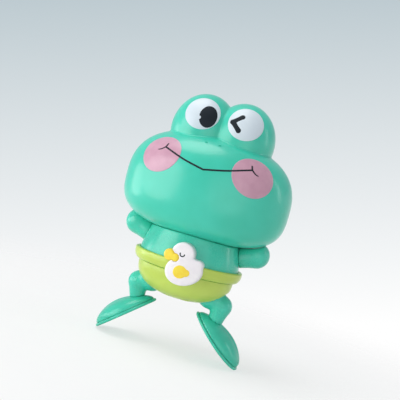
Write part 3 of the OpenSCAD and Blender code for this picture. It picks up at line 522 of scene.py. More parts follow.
plastics = {
    "frog_vinyl": dict(colour="#3fd0b6", deep="#37c8ac", pale="#8ae9d8", drift=0.03, grain=0.0007,
                       rough=0.3, coat=0.35, coatRough=0.16, glow=0.12, wave=1.0, grit=0.05,
                       bump=0.00005),
    "frog_plastic": dict(colour="#40cfb4", deep="#37c5a9", pale="#8fe9d6", drift=0.018,
                         grain=0.0006, rough=0.28, coat=0.3, glow=0.06, seam=0.003),
    "flipper_plastic": dict(colour="#3fccb0", deep="#34bfa2", pale="#8ce6d2", drift=0.015,
                            grain=0.0006, rough=0.3, coat=0.3, glow=0.06),
    "trunks_plastic": dict(colour="#c6dc62", deep="#bcd255", pale="#e3f09c", drift=0.02,
                           grain=0.0006, rough=0.3, coat=0.3, glow=0.06),
    "knob_plastic": dict(colour="#bfd95a", deep="#b3cd4d", pale="#e0ee95", drift=0.01,
                         grain=0.0005, rough=0.36, coat=0.12, glow=0.05),
    "eye_plastic": dict(colour="#dae5ec", deep="#d4e0e9", pale="#f0f8fc", drift=0.012,
                        grain=0.0005, rough=0.38, coat=0.1, speck=0.1, grit=0.03),
    "ink_plastic": dict(colour="#131b22", deep="#171f27", pale="#27313a", drift=0.006,
                        grain=0.0004, rough=0.5, ior=1.3, speck=0.05),
    "cheek_plastic": dict(colour="#d09fb3", deep="#c795aa", pale="#e6c8d5", drift=0.01,
                          grain=0.0006, rough=0.3, coat=0.3, speck=0.1),
    "duck_plastic": dict(colour="#fbf6f8", deep="#f3edf2", pale="#ffffff", drift=0.008,
                         grain=0.0005, rough=0.34, coat=0.15, speck=0.1),
    "duck_yellow": dict(colour="#fde64b", deep="#f9d73a", pale="#fff2a0", drift=0.006,
                        grain=0.0005, rough=0.36, coat=0.12),
    "plug_plastic": dict(colour="#dfe3e2", deep="#cfd5d4", pale="#f6f8f8", drift=0.012,
                         grain=0.0006, rough=0.42),
    "motor_plastic": dict(colour="#eceeec", deep="#dde1df", pale="#ffffff", drift=0.01,
                          grain=0.0006, rough=0.4),
    "gear_nylon": dict(colour="#f3f1e6", deep="#e7e4d5", pale="#ffffff", drift=0.006,
                       grain=0.0004, rough=0.45, glow=0.15),
    "slider_acetal": dict(colour="#f0933a", deep="#e5852c", pale="#ffc287", drift=0.008,
                          grain=0.0005, rough=0.35),
    "seal_rubber": dict(colour="#2a2d30", deep="#202326", pale="#55595c", drift=0.006,
                        grain=0.0004, rough=0.62, grit=0.15),
}
metals = {
    "wheel_brass": dict(colour="#d9b25c", tarnish="#8f6b2e", stretch=(1, 1, 1), line=0.0008,
                        stain=0.45, rough=0.3),
    "spring_steel": dict(colour="#8d97a3", tarnish="#4c5663", stretch=(1, 0.05, 1), line=0.0006,
                         stain=0.4, rough=0.32),
    "bright_steel": dict(colour="#d4d8db", tarnish="#9aa0a5", stretch=(1, 0.06, 1), line=0.0006,
                         stain=0.25, rough=0.2),
    "screw_steel": dict(colour="#cdd1d4", tarnish="#8b9196", stretch=(1, 1, 1), line=0.0005,
                        stain=0.35, rough=0.28),
    "reed_bronze": dict(colour="#c98f58", tarnish="#7d5430", stretch=(0.08, 1, 1), line=0.0006,
                        stain=0.35, rough=0.3),
}
looks = {name: plasticLook(name, look) for name, look in plastics.items()}
looks.update({name: metalLook(name, look) for name, look in metals.items()})
print("finishes ready:", len(looks))

# Head.

head = dict(wide=84.4, deep=55.0, widest=81.5, crown=28.5, chin=23.25, crownPower=2.5,
            chinPower=3.1, scale=28.0, wall=2.2, domeWide=33.0, domeDeep=30.0, domeTall=19.0,
            domeGap=20.0, crease=0.6, dip=0.36, plugRadius=13.55, plugLip=15.05, groove=59.1,
            floor=60.8, plugTop=62.4, neckLow=40.0, edge=0.4, step=0.62,
            box=((-45, -30, 56), (45, 30, 130)))
face = dict(eyeWide=17.3, eyeGap=21.8, eyeShift=0.65, eyeHeight=118.7, eyeTilt=20.0, eyeY=-13.31,
            cheekWide=19.4, cheekGap=45.2, cheekHeight=94.9, cheekTilt=22.0, cheekY=-21.4,
            proud=0.12, deep=0.6, inkProud=0.17, inkDeep=0.15, inkRim=0.1, behind=-20.0, reach=12.0)
nostril = dict(gap=6.8, height=104.9, half=(0.75, 0.7, 0.42), turn=0.25, smooth=50)
crownTop = head["widest"] + head["crown"]
ahead = np.array([0, -1.0, 0])


def squashed(rho, rise, power):  # 1 on a squashed circle
    return (rho ** power + np.maximum(rise, 0) ** power) ** (1 / power)


def egg(p, grow=0.0):
    rho = np.hypot(p[:, 0] / (head["wide"] / 2 + grow), p[:, 1] / (head["deep"] / 2 + grow))
    z = p[:, 2] - head["widest"]
    upper = squashed(rho, z / (head["crown"] + grow), head["crownPower"])
    under = squashed(rho, -z / (head["chin"] + grow), head["chinPower"])
    return (np.where(z > 0, upper, under) - 1) * head["scale"]


def domes(p):
    half = (head["domeWide"] / 2, head["domeDeep"] / 2, head["domeTall"])
    q = p.copy()
    q[:, 0] = np.abs(q[:, 0])
    middle = (head["domeGap"] / 2, 0, crownTop)
    near = ellipsoid(q, middle, half)
    q[:, 0] = -q[:, 0]
    return softMin(near, ellipsoid(q, middle, half), head["dip"])


def headSkin(p):
    return softMin(even(egg, p), domes(p), head["crease"])


def headField(p):
    skin = headSkin(p)
    z = p[:, 2]
    hollow = np.maximum(skin + head["wall"], head["floor"] - z)
    neck = np.minimum(rodZ(p, 0, 0, head["neckLow"], head["groove"], head["plugLip"]),
                      np.minimum(rodZ(p, 0, 0, head["neckLow"], head["plugTop"], head["plugRadius"]),
                                 rodZ(p, 0, 0, head["floor"], head["plugTop"], head["plugLip"])))
    return softMax(softMax(skin, -hollow, head["edge"]), -neck, head["edge"])


def speckBall(name, centre, half, turn=0.0):
    rows, columns = 10, 16
    points = [(0, 0, 1), (0, 0, -1)]
    for i in range(1, rows):
        a = math.pi * i / rows
        points += [(math.sin(a) * math.cos(b), math.sin(a) * math.sin(b), math.cos(a))
                   for b in np.linspace(0, 2 * math.pi, columns, endpoint=False)]
    faces = []
    for j in range(columns):
        k = (j + 1) % columns
        faces.append([0, 2 + j, 2 + k])
        faces.append([1, 2 + (rows - 2) * columns + k, 2 + (rows - 2) * columns + j])
        for i in range(rows - 2):
            faces.append([2 + i * columns + j, 2 + (i + 1) * columns + j,
                          2 + (i + 1) * columns + k, 2 + i * columns + k])
    spot = np.array(points) * np.array(half)
    c, s = math.cos(turn), math.sin(turn)
    spot = np.stack([spot[:, 0] * c - spot[:, 2] * s, spot[:, 1], spot[:, 0] * s + spot[:, 2] * c], 1)
    return meshPiece(name, spot + np.array(centre), faces)


headPiece = mouldedPiece("headVinyl", headField, *head["box"], head["step"])
for side in (-1, 1):
    spot = np.array([[side * nostril["gap"] / 2, face["behind"], nostril["height"]]])
    spot = onSurface(headSkin, spot, ahead, 0.0, face["reach"])[0]
    carve(headPiece, speckBall("nostril", spot, nostril["half"], side * nostril["turn"]),
          nostril["smooth"])
settle(headPiece, "torso", "frog_vinyl", "head_shell")
print("head ready:", len(headPiece.data.polygons))

# Eyes, cheeks, pupil and wink.


def tilted(angle):  # right and up along a disc that leans back
    a = math.radians(angle)
    return (1, 0, 0), (0, math.sin(a), math.cos(a))


def eyeFrame(side):
    place = (side * face["eyeGap"] / 2 + face["eyeShift"], face["eyeY"], face["eyeHeight"])
    return place, *tilted(face["eyeTilt"])


def disc(wide):
    return arc(0, 0, wide / 2, 0, 360, 96)[:-1]


for side, name in ((-1, "Left"), (1, "Right")):
    white = inlay("eyeWhite" + name, disc(face["eyeWide"]), *eyeFrame(side), headSkin,
                  face["proud"], face["deep"])
    settle(white, "torso", "eye_plastic", "eye_white_" + name.lower())
    place = (side * face["cheekGap"] / 2, face["cheekY"], face["cheekHeight"])
    cheek = inlay("cheek" + name, disc(face["cheekWide"]), place, *tilted(face["cheekTilt"]),
                  headSkin, face["proud"], face["deep"])
    settle(cheek, "torso", "cheek_plastic", "cheek_" + name.lower())

pupil = dict(wide=8.6, tall=11.4, x=3.3, z=-1.4, notch=0.85, notchX=-0.75, notchZ=-3.1,
             notchEdge=0.12, seenFrom=0.8, reach=8.0, gap=0.7)
wink = dict(wide=2.6, x=-6.3, z=-0.8, reach=4.0, up=3.4, down=3.8, gap=0.6)


def pupilFlat(u, v):
    body = ovalFlat(u, v, pupil["x"], pupil["z"], pupil["wide"], pupil["tall"])
    bite = np.hypot(u - pupil["notchX"], v - pupil["notchZ"]) - pupil["notch"]
    return softMax(body, -bite, pupil["notchEdge"])


pupilLoop = around(pupilFlat, (pupil["x"] + pupil["seenFrom"], pupil["z"]), pupil["reach"], 120)
mark = inlay("pupil", pupilLoop, *eyeFrame(-1), headSkin, face["inkProud"], face["inkDeep"],
             face["inkRim"], pupil["gap"])
settle(mark, "torso", "ink_plastic", "pupil")
apex, half = np.array((wink["x"], wink["z"])), wink["wide"] / 2
tips = [apex + (wink["reach"], wink["up"]), apex + (wink["reach"], -wink["down"])]
turns = [math.degrees(math.atan2(*(tip - apex)[::-1])) for tip in tips]
middle = math.radians(sum(turns) / 2)
inner = half / math.sin(math.radians(turns[0] - turns[1]) / 2)
elbow = apex + (inner * math.cos(middle), inner * math.sin(middle))
winkLoop = np.concatenate([arc(*tips[0], half, turns[0] - 90, turns[0] + 90, 10),
                           arc(*apex, half, turns[0] + 90, turns[1] + 270, 12),
                           arc(*tips[1], half, turns[1] - 90, turns[1] + 90, 10), [elbow]])
mark = inlay("winkMark", winkLoop, *eyeFrame(1), headSkin, face["inkProud"], face["inkDeep"],
             face["inkRim"], wink["gap"])
settle(mark, "torso", "ink_plastic", "wink_mark")
print("eyes and cheeks ready")


# Lines that follow a surface: Geometry Nodes sweep a round section along points.

def growTree(name, inputs):
    tree = bpy.data.node_groups.new(name, "GeometryNodeTree")
    tree.interface.new_socket("Geometry", in_out="INPUT", socket_type="NodeSocketGeometry")
    for label, kind, value in inputs:
        made = tree.interface.new_socket(label, in_out="INPUT", socket_type="NodeSocket" + kind)
        if value is not None:
            made.default_value = value
    tree.interface.new_socket("Geometry", in_out="OUTPUT", socket_type="NodeSocketGeometry")
    flow = Flow(tree)
    entry = flow.node("NodeGroupInput")
    return tree, flow, {s.socket.name: s for s in entry if s.socket.name}


def grow(piece, tree, inputs):
    maker = piece.modifiers.new(tree.name, "NODES")
    maker.node_group = tree
    keys = {item.name: item.identifier for item in tree.interface.items_tree
            if item.item_type == "SOCKET" and item.in_out == "INPUT"}
    for label, value in inputs.items():
        maker[keys[label]] = value
    plain(piece)
    return piece


def endTree(flow, shape, look):
    real = flow.node("GeometryNodeRealizeInstances", {}, {"Geometry": shape})[0]
    dressed = flow.node("GeometryNodeSetMaterial", {}, {"Geometry": real, "Material": look})[0]
    flow.node("NodeGroupOutput", {}, {0: dressed})


def sweepTree():
    tree, flow, given = growTree("sweptLine", [("Sides", "Int", 12), ("Thickness", "Float", 0.001),
                                               ("Finish", "Material", None)])
    line = flow.node("GeometryNodeMeshToCurve", {}, {"Mesh": given["Geometry"]})[0]
    girth = flow.node("GeometryNodeInputNamedAttribute", {"data_type": "FLOAT"}, {"Name": "girth"})[0]
    ring = flow.node("GeometryNodeCurvePrimitiveCircle", {"mode": "RADIUS"},
                     {"Resolution": given["Sides"], "Radius": given["Thickness"]})[0]
    tube = flow.node("GeometryNodeCurveToMesh", {}, {"Curve": line, "Profile Curve": ring,
                                                     "Scale": girth, "Fill Caps": True})[0]
    soft = flow.node("GeometryNodeSetShadeSmooth", {}, {"Geometry": tube, "Shade Smooth": True})[0]
    endTree(flow, soft, given["Finish"])
    return tree


sweep = sweepTree()


def sweptLines(name, paths, thickness, look, sides=12):
    # paths hold points and, for each, the share of the thickness there
    points, edges, girth = [], [], []
    for line, share in paths:
        start = len(points)
        points += list(line)
        girth += list(share)
        edges += [(start + i, start + i + 1) for i in range(len(line) - 1)]
    mesh = bpy.data.meshes.new(name)
    mesh.from_pydata([tuple(q * mm) for q in np.array(points)], edges, [])
    mesh.attributes.new("girth", "FLOAT", "POINT").data.foreach_set("value", girth)
    piece = placed(name, mesh)
    grow(piece, sweep, {"Sides": sides, "Thickness": thickness * mm, "Finish": look})
    softShade(piece, 40)
    return piece


mouth = dict(wide=43.2, height=97.8, dip=5.7, sag=0.5, thick=0.7, shows=0.17, tickIn=0.8,
             tickUp=1.9, tickOut=3.4, tickDown=2.1, upBend=0.1, downBend=0.35, root=0.95, upTip=0.85,
             downTip=0.3, rise=0.3, points=30, tickPoints=16)


def smoothPath(knots, steps):
    knots = np.array(knots, float)
    t = np.linspace(0, len(knots) - 1, steps)
    out = []
    for v in t:
        i = min(int(v), len(knots) - 2)
        f = v - i
        a = knots[max(i - 1, 0)] if i else 2 * knots[0] - knots[1]
        b, c = knots[i], knots[i + 1]
        d = knots[i + 2] if i + 2 < len(knots) else 2 * knots[-1] - knots[-2]
        out.append(0.5 * (2 * b + (c - a) * f + (2 * a - 5 * b + 4 * c - d) * f * f
                          + (3 * b - a - 3 * c + d) * f ** 3))
    return np.array(out)


def cheekRise(x, z):
    # the line rides up where it crosses a cheek
    off = np.hypot(np.abs(x) - face["cheekGap"] / 2, z - face["cheekHeight"])
    t = np.clip((face["cheekWide"] / 2 + mouth["rise"] / 2 - off) / mouth["rise"], 0, 1)
    return face["proud"] * t


def upright(flat, y):  # points of an outline, stood up at one depth
    return np.stack([flat[:, 0], np.full(len(flat), y), flat[:, 1]], 1)


def facePath(flat, radius):
    # points of a line drawn on the face from straight ahead; radius is the line's own there
    height = cheekRise(flat[:, 0], flat[:, 1]) + mouth["shows"]
    top = onSurface(headSkin, upright(flat, face["behind"]), ahead, 0.0, face["reach"])
    d, grad = slope(headSkin, top)
    out = grad / np.linalg.norm(grad, axis=1)[:, None]
    return top + (height - radius)[:, None] * out


def mouthLines():
    low = np.array([0, mouth["height"] - mouth["dip"]])
    paths = []
    corners = [np.array([side * mouth["wide"] / 2, mouth["height"]]) for side in (-1, 1)]
    knots = [corners[0], (low + corners[0]) / 2 - [0, mouth["sag"]], low,
             (low + corners[1]) / 2 - [0, mouth["sag"]], corners[1]]
    left, right = smoothPath(knots[:3], mouth["points"]), smoothPath(knots[2:], mouth["points"])
    flat = np.concatenate([left, right[1:]])
    share = np.ones(len(flat))
    paths.append((facePath(flat, share * mouth["thick"]), share))
    for side, corner in zip((-1, 1), corners):
        ticks = ((corner + [-side * mouth["tickIn"], mouth["tickUp"]], mouth["upBend"], mouth["upTip"]),
                 (corner + [side * mouth["tickOut"], -mouth["tickDown"]], mouth["downBend"],
                  mouth["downTip"]))
        for tip, bend, end in ticks:
            middle = (corner + tip) / 2 + np.array([0, -1]) * bend
            flat = smoothPath([corner, middle, tip], mouth["tickPoints"])
            share = np.linspace(mouth["root"], end, mouth["tickPoints"])
            paths.append((facePath(flat, share * mouth["thick"]), share))
    return paths


line = sweptLines("mouthLine", mouthLines(), mouth["thick"], looks["ink_plastic"])
settle(line, "torso", "ink_plastic", "mouth_line")
print("mouth ready")

# Torso shells.

trunk = dict(bodyWide=51.0, bodyDeep=39.8, topWide=44.0, rim=47.0, bandTall=6.0, bandOut=2.2,
             bandRound=0.8, bandRoll=4.44, bowlWide=49.0, bowlTall=14.5, bowlPower=2.4, wall=1.8,
             skirtIn=0.2, skirtDrop=3.0, ledge=41.4, taper=1.3, top=60.45, deck=57.9, deckThick=1.8,
             split=1.6, headClear=0.15, headEdge=0.5, edge=0.3, cutEdge=0.2, joint=0.01, neckHole=3.0,
             step=0.46, frontBox=((-27, -21.5, 39.5), (27, 3.2, 62)),
             rearBox=((-27, 0, 39.5), (27, 21.5, 62)), trunksBox=((-30, -24, 24), (30, 24, 49)))
boss = dict(x=17.3, z=44.2, radius=2.3, front=1.1, back=2.1, inside=0.1, fillet=0.4, pilot=0.9,
            pilotFrom=-4.9, screw=1.1, head=2.0, headFrom=7.1)
shaft = dict(z=43.2, hole=2.62)
arm = dict(shoulder=(20.5, 3.0, 53.0), elbow=(31.6, 6.0, 57.4), hand=(13.5, 19.4, 53.0),
           shoulderRadius=5.0, elbowRadius=6.3, handRadius=4.8, clear=0.4, headClear=0.4,
           fillet=1.2, edge=0.4, peg=1.5, pegY=5.4, pegIn=19.4, pegOut=23.4, pegClear=0.03, step=0.42,
           box=((7, -4, 45), (40, 27, 65)))
leg = dict(hub=6.9, hubHalf=5.9, hubEdge=0.6, hubFillet=1.0, thigh=5.6, kneeRadius=5.1,
           kneeFillet=1.2, shin=3.6, knee=(22.0, 0.0, 28.7), leverX=7.2, leverZ=33.8, leverFront=2.5,
           leverThick=1.5, leverWide=3.0, leverEdge=0.2, pinBack=5.85, pin=0.8, bore=0.85,
           footClear=0.06, footEdge=0.3, step=0.42,
           box=((5, -8.5, 8), (30, 8.5, 42)))
squeeze = trunk["bodyDeep"] / trunk["bodyWide"]
bandRadius = trunk["bodyWide"] / 2 + trunk["bandOut"]
bandLow = trunk["rim"] - trunk["bandTall"]


def torsoOutline(grow):
    t = np.linspace(0, 1, 25)
    half = trunk["bodyWide"] / 2
    side = np.stack([half + grow - (trunk["bodyWide"] - trunk["topWide"]) / 2 * t ** trunk["taper"],
                     trunk["rim"] + (trunk["top"] - trunk["rim"]) * t], 1)
    skirt, low = half - trunk["skirtIn"] + grow, trunk["ledge"] - trunk["skirtDrop"]
    return Outline(np.concatenate([[[0, low], [skirt, low], [skirt, trunk["ledge"]]], side,
                                   [[0, trunk["top"]]]]))


def trunksOutline(grow):
    bowl = quarter(trunk["bowlWide"] / 2 + grow, trunk["bowlTall"] + grow, trunk["bowlPower"])[::-1]
    r, low, top = bandRadius + grow, bandLow - grow, trunk["rim"] + grow
    bowl = np.stack([bowl[:, 0], bandLow - bowl[:, 1]], 1)
    a = np.radians(np.linspace(0, 90, 13))[1:]
    start = trunk["bowlWide"] / 2 + grow
    roll = np.stack([start + (r - start) * np.sin(a), low + trunk["bandRoll"] * (1 - np.cos(a))], 1)
    rim = arc(r - trunk["bandRound"], top - trunk["bandRound"], trunk["bandRound"], 0, 90, 12)
    return Outline(np.concatenate([bowl, roll, rim, [[0, top]]]))


torsoOut, torsoIn, trunksOut = torsoOutline(0), torsoOutline(-trunk["wall"]), trunksOutline(0)
far = 70.0  # beyond every piece, for a cut that runs out


def ovalRadius(p):  # the distance from the body's axis, as if the body were round
    return np.hypot(p[:, 0], p[:, 1] / squeeze)


def torsoShell(p):
    rho, z = ovalRadius(p), p[:, 2]
    inner = np.maximum(torsoIn(rho, z), z - trunk["deck"] + trunk["deckThick"])
    shell = softMax(torsoOut(rho, z), -inner, trunk["edge"])
    shell = softMax(shell, trunk["ledge"] + 0.05 - z, trunk["edge"])
    shell = softMax(shell, -even(lambda q: egg(q, trunk["headClear"]), p), trunk["headEdge"])
    holes = np.minimum(rodZ(p, 0, 0, trunk["deck"], far, head["plugLip"]),
                       rodZ(p, 0, 0, trunk["rim"], far, trunk["neckHole"]))
    return np.maximum(shell, -holes)


def bosses(p, low, high, radius):
    q = p.copy()
    q[:, 0] = np.abs(q[:, 0])
    return rodY(q, boss["x"], boss["z"], low, high, radius)


def torsoHalf(p, low, high, cut):  # one half of the shell, with the bosses inside it
    post = np.maximum(bosses(p, low, high, boss["radius"]),
                      torsoOut(ovalRadius(p), p[:, 2]) + boss["inside"])
    return softMax(softMin(torsoShell(p), post, boss["fillet"]), cut + trunk["joint"], trunk["edge"])


def torsoFront(p):
    half = torsoHalf(p, -far, boss["front"], p[:, 1] - trunk["split"])
    return np.maximum(half, -bosses(p, boss["pilotFrom"], far, boss["pilot"]))


def armPeg(p, grow=0.0):
    side = np.hypot(p[:, 1] - arm["pegY"], p[:, 2] - arm["shoulder"][2]) - arm["peg"] - grow
    return np.maximum(side, np.maximum(arm["pegIn"] - p[:, 0], p[:, 0] - arm["pegOut"]))


def torsoRear(p):
    half = torsoHalf(p, boss["back"], far, trunk["split"] - p[:, 1])
    cuts = np.minimum(bosses(p, 0, far, boss["screw"]), bosses(p, boss["headFrom"], far, boss["head"]))
    cuts = np.minimum(cuts, rodY(p, 0, shaft["z"], 0, far, shaft["hole"]))
    cuts = np.minimum(cuts, armPeg(np.abs(p), arm["pegClear"]))
    return softMax(half, -cuts, trunk["cutEdge"])


front = mouldedPiece("torsoFront", torsoFront, *trunk["frontBox"], trunk["step"])
settle(front, "torso", "frog_plastic", "torso_front")
rear = mouldedPiece("torsoRear", torsoRear, *trunk["rearBox"], trunk["step"])
settle(rear, "torso", "frog_plastic", "torso_rear")
print("torso ready:", len(front.data.polygons), len(rear.data.polygons))

# Arms.

def armSeat(p):
    fall = (trunk["bodyWide"] - trunk["topWide"]) / 2 / (trunk["top"] - trunk["rim"])
    edge = trunk["bodyWide"] / 2 + arm["clear"] - fall * (p[:, 2] - trunk["rim"])
    return (ovalRadius(p) - edge) / math.hypot(1, fall)


def armField(p):
    upper = bone(p, arm["shoulder"], arm["elbow"], arm["shoulderRadius"], arm["elbowRadius"])
    lower = bone(p, arm["elbow"], arm["hand"], arm["elbowRadius"], arm["handRadius"])
    limb = softMax(softMin(upper, lower, arm["fillet"]), -armSeat(p), arm["edge"])
    limb = softMax(limb, -even(lambda q: egg(q, arm["headClear"]), p), arm["edge"])
    return np.minimum(limb, armPeg(p))


right = mouldedPiece("armRight", armField, *arm["box"], arm["step"])
left = mirrored(right, "armLeft")
settle(right, "torso", "frog_plastic", "arm_right")
settle(left, "torso", "frog_plastic", "arm_left")
print("arms ready:", len(right.data.polygons))

# Trunks.

hip = dict(x=15.5, z=32.5, socket=7.25, half=6.15, post=2.2, pin=0.82, pinFrom=-10.0, clear=0.2,
           outward=11.0, reach=14.0, screwX=5.0, screwY=-8.0, screw=1.1, screwHead=29.5, head=2.0,
           drain=0.8, drainRing=3.2, drainTop=34.0, flat=26.8, low=20.0, bodyClear=0.05, mouth=52.0,
           edge=0.35, fillet=0.5, socketEdge=0.2, flatEdge=0.25)
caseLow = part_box("motor_case")[0][2] / mm
kneeTurn = math.atan2(leg["knee"][0] - hip["x"], leg["knee"][2] - hip["z"])
kneeTurn -= math.radians(hip["outward"])


def trunksInside():
    bowl = quarter(trunk["bowlWide"] / 2 - trunk["wall"], trunk["bowlTall"] - trunk["wall"],
                   trunk["bowlPower"])[::-1]
    bowl = np.stack([bowl[:, 0], bandLow - bowl[:, 1]], 1)
    half, top = trunk["bodyWide"] / 2 + hip["bodyClear"], hip["mouth"]
    return Outline(np.concatenate([bowl, [[trunk["bowlWide"] / 2 - trunk["wall"], trunk["ledge"]],
                                          [half, trunk["ledge"]], [half, top], [0, top]]]))


trunksIn = trunksInside()


def trunksField(p):
    rho, x, y, z = ovalRadius(p), np.abs(p[:, 0]), p[:, 1], p[:, 2]
    q = np.stack([x, y, z], 1)
    outer = trunksOut(rho, z)
    shell = softMax(outer, -trunksIn(rho, z), hip["edge"])
    posts = np.minimum(rodY(q, hip["x"], hip["z"], -far, -hip["half"], hip["post"]),
                       rodY(q, hip["x"], hip["z"], hip["half"], far, hip["post"]))
    screw = q, hip["screwX"], hip["screwY"], hip["low"]
    posts = np.minimum(posts, rodZ(*screw, caseLow, hip["head"]))
    shell = softMin(shell, np.maximum(posts, outer + boss["inside"]), hip["fillet"])
    middle = np.array([hip["x"], 0, hip["z"]])
    socket = softMax(ball(q, middle, hip["socket"]), np.abs(y) - hip["half"], hip["socketEdge"])
    d = np.array([math.sin(kneeTurn), 0, math.cos(kneeTurn)])
    s = q - middle
    along = s @ d
    thigh = np.maximum(np.linalg.norm(s - along[:, None] * d, axis=1) - leg["thigh"] - hip["clear"],
                       np.maximum(-along, along - hip["reach"]))
    shell = softMax(shell, -np.minimum(socket, thigh), hip["fillet"])
    cuts = np.minimum(rodZ(*screw, far, hip["screw"]), rodZ(*screw, hip["screwHead"], hip["head"]))
    cuts = np.minimum(cuts, rodY(q, hip["x"], hip["z"], hip["pinFrom"], far, hip["pin"]))
    cuts = np.minimum(cuts, rodY(q, 0, shaft["z"], 0, far, shaft["hole"]))
    for a in np.radians([90, 210, 330]):
        spot = hip["drainRing"] * math.cos(a), hip["drainRing"] * math.sin(a)
        cuts = np.minimum(cuts, rodZ(p, *spot, hip["low"], hip["drainTop"], hip["drain"]))
    shell = softMax(shell, -cuts, trunk["cutEdge"])
    return softMax(shell, hip["flat"] - z, hip["flatEdge"])


trunks = mouldedPiece("trunks", trunksField, *trunk["trunksBox"], trunk["step"])
settle(trunks, "torso", "trunks_plastic", "trunks")
print("trunks ready:", len(trunks.data.polygons))

# Legs, flippers and soles.

foot = dict(long=34.5, wide=22.0, tall=8.0, sole=1.5, angle=39.6, toeX=37.0, power=0.57, skew=0.87,
            rimIn=0.9, wall=1.4, ribMiddle=0.44, ribHalf=0.36, ribWide=1.5, ribTall=0.45,
            ribFillet=1.2, ankle=0.27, sink=3.0, even=0.8, hollowEdge=0.2, edge=0.35, soleEdge=0.9,
            gap=0.08, joint=0.01, step=0.46, box=((8, -13, -2), (45, 13, 30)),
            soleBox=((8, -13, -2), (40, 13, 26)))
footCos, footSin = math.cos(math.radians(foot["angle"])), math.sin(math.radians(foot["angle"]))


def leaf(grow, steps=60):
    t = np.linspace(0, 1, steps + 1)
    wide = foot["wide"] / 2 + grow
    return np.stack([wide * np.sin(np.pi * t ** foot["skew"]).clip(0) ** foot["power"],
                     (foot["long"] + 2 * grow) * t - grow], 1)


def footAxes(p):  # along the foot from toe to heel, across it, and up from its sole
    x, z = p[:, 0] - foot["toeX"], p[:, 2]
    return -x * footCos + z * footSin, p[:, 1], x * footSin + z * footCos


class Dome:
    def __init__(self, grow):
        self.outline = Outline(leaf(grow - foot["rimIn"]), foot["gap"])
        self.share = (foot["tall"] - foot["sole"] + grow) / (foot["wide"] / 2 - foot["rimIn"] + grow)

    def __call__(self, p):
        a, b, c = footAxes(p)
        return self.outline(np.hypot(b, (c - foot["sole"]) / self.share), a) * foot["even"]


domeOut, domeIn = Dome(0.0), Dome(-foot["wall"])
soleOut = Outline(leaf(0), foot["gap"])


def flipperField(p):
    a, b, c = footAxes(p)
    half = foot["long"] * foot["ribHalf"]
    rib = ellipsoid(np.stack([a, b, c], 1), (foot["long"] * foot["ribMiddle"], 0, foot["sole"]),
                    (half, foot["ribWide"], foot["tall"] - foot["sole"] + foot["ribTall"]))
    shell = softMax(softMin(domeOut(p), rib, foot["ribFillet"]), -domeIn(p), foot["hollowEdge"])
    return softMax(shell, foot["sole"] + foot["joint"] - c, foot["edge"])


def soleField(p):
    a, b, c = footAxes(p)
    return softMax(soleOut(b, a), np.abs(c - foot["sole"] / 2) - foot["sole"] / 2, foot["soleEdge"])


ankleAlong = foot["long"] * (1 - foot["ankle"])
ankleUp = foot["tall"] - foot["sink"]
ankle = (foot["toeX"] - ankleAlong * footCos + ankleUp * footSin, 0.0,
         ankleAlong * footSin + ankleUp * footCos)


def legField(p):
    middle = (hip["x"], 0, hip["z"])
    hub = softMax(ball(p, middle, leg["hub"]), np.abs(p[:, 1]) - leg["hubHalf"], leg["hubEdge"])
    thigh = bone(p, middle, leg["knee"], leg["thigh"], leg["kneeRadius"])
    shin = bone(p, leg["knee"], ankle, leg["kneeRadius"], leg["shin"])
    limb = softMin(softMin(thigh, shin, leg["kneeFillet"]), hub, leg["hubFillet"])
    back = leg["leverFront"] + leg["leverThick"]
    lever = barY(p, (hip["x"], hip["z"]), (leg["leverX"], leg["leverZ"]), leg["leverWide"],
                 leg["leverFront"], back, leg["leverEdge"])
    pin = rodY(p, leg["leverX"], leg["leverZ"], leg["leverFront"], leg["pinBack"], leg["pin"])
    limb = np.minimum(limb, np.minimum(lever, pin))
    limb = np.maximum(limb, -rodY(p, hip["x"], hip["z"], -far, far, leg["bore"]))
    return softMax(limb, leg["footClear"] - domeOut(p), leg["footEdge"])


legRight = mouldedPiece("legRight", legField, *leg["box"], leg["step"])
flipperRight = mouldedPiece("flipperRight", flipperField, *foot["box"], foot["step"])
soleRight = mouldedPiece("soleRight", soleField, *foot["soleBox"], foot["step"])
for part, name, slot in ((legRight, "leg", "frog_plastic"),
                         (flipperRight, "flipper", "flipper_plastic"),
                         (soleRight, "sole", "flipper_plastic")):
    other = mirrored(part, name + "Left")
    settle(part, "leg_right", slot, name + "_right")
    settle(other, "leg_left", slot, name + "_left")
print("legs ready:", len(legRight.data.polygons), len(flipperRight.data.polygons))

# Round moulding marks on the thighs.

marks = dict(ring=0.9, thick=0.2, sunk=0.08, behind=-3.0, reach=6.0, sides=8,
             places=((1.1, 1.1), (0.0, -2.2)))
for side, name in ((1, "Right"), (-1, "Left")):
    rings = []
    for x, z in marks["places"]:
        flat = arc(leg["knee"][0] + x, leg["knee"][2] + z, marks["ring"], 0, 360, 32)
        spot = onSurface(legField, upright(flat, marks["behind"]), ahead, -marks["sunk"],
                         marks["reach"])
        spot[:, 0] *= side
        rings.append((spot, np.ones(len(spot))))
    ring = sweptLines("thighMarks" + name, rings, marks["thick"], looks["frog_plastic"],
                      marks["sides"])
    settle(ring, "leg_" + name.lower(), "frog_plastic")

# Duck badge, drawn upright round the middle of its body, then leant.

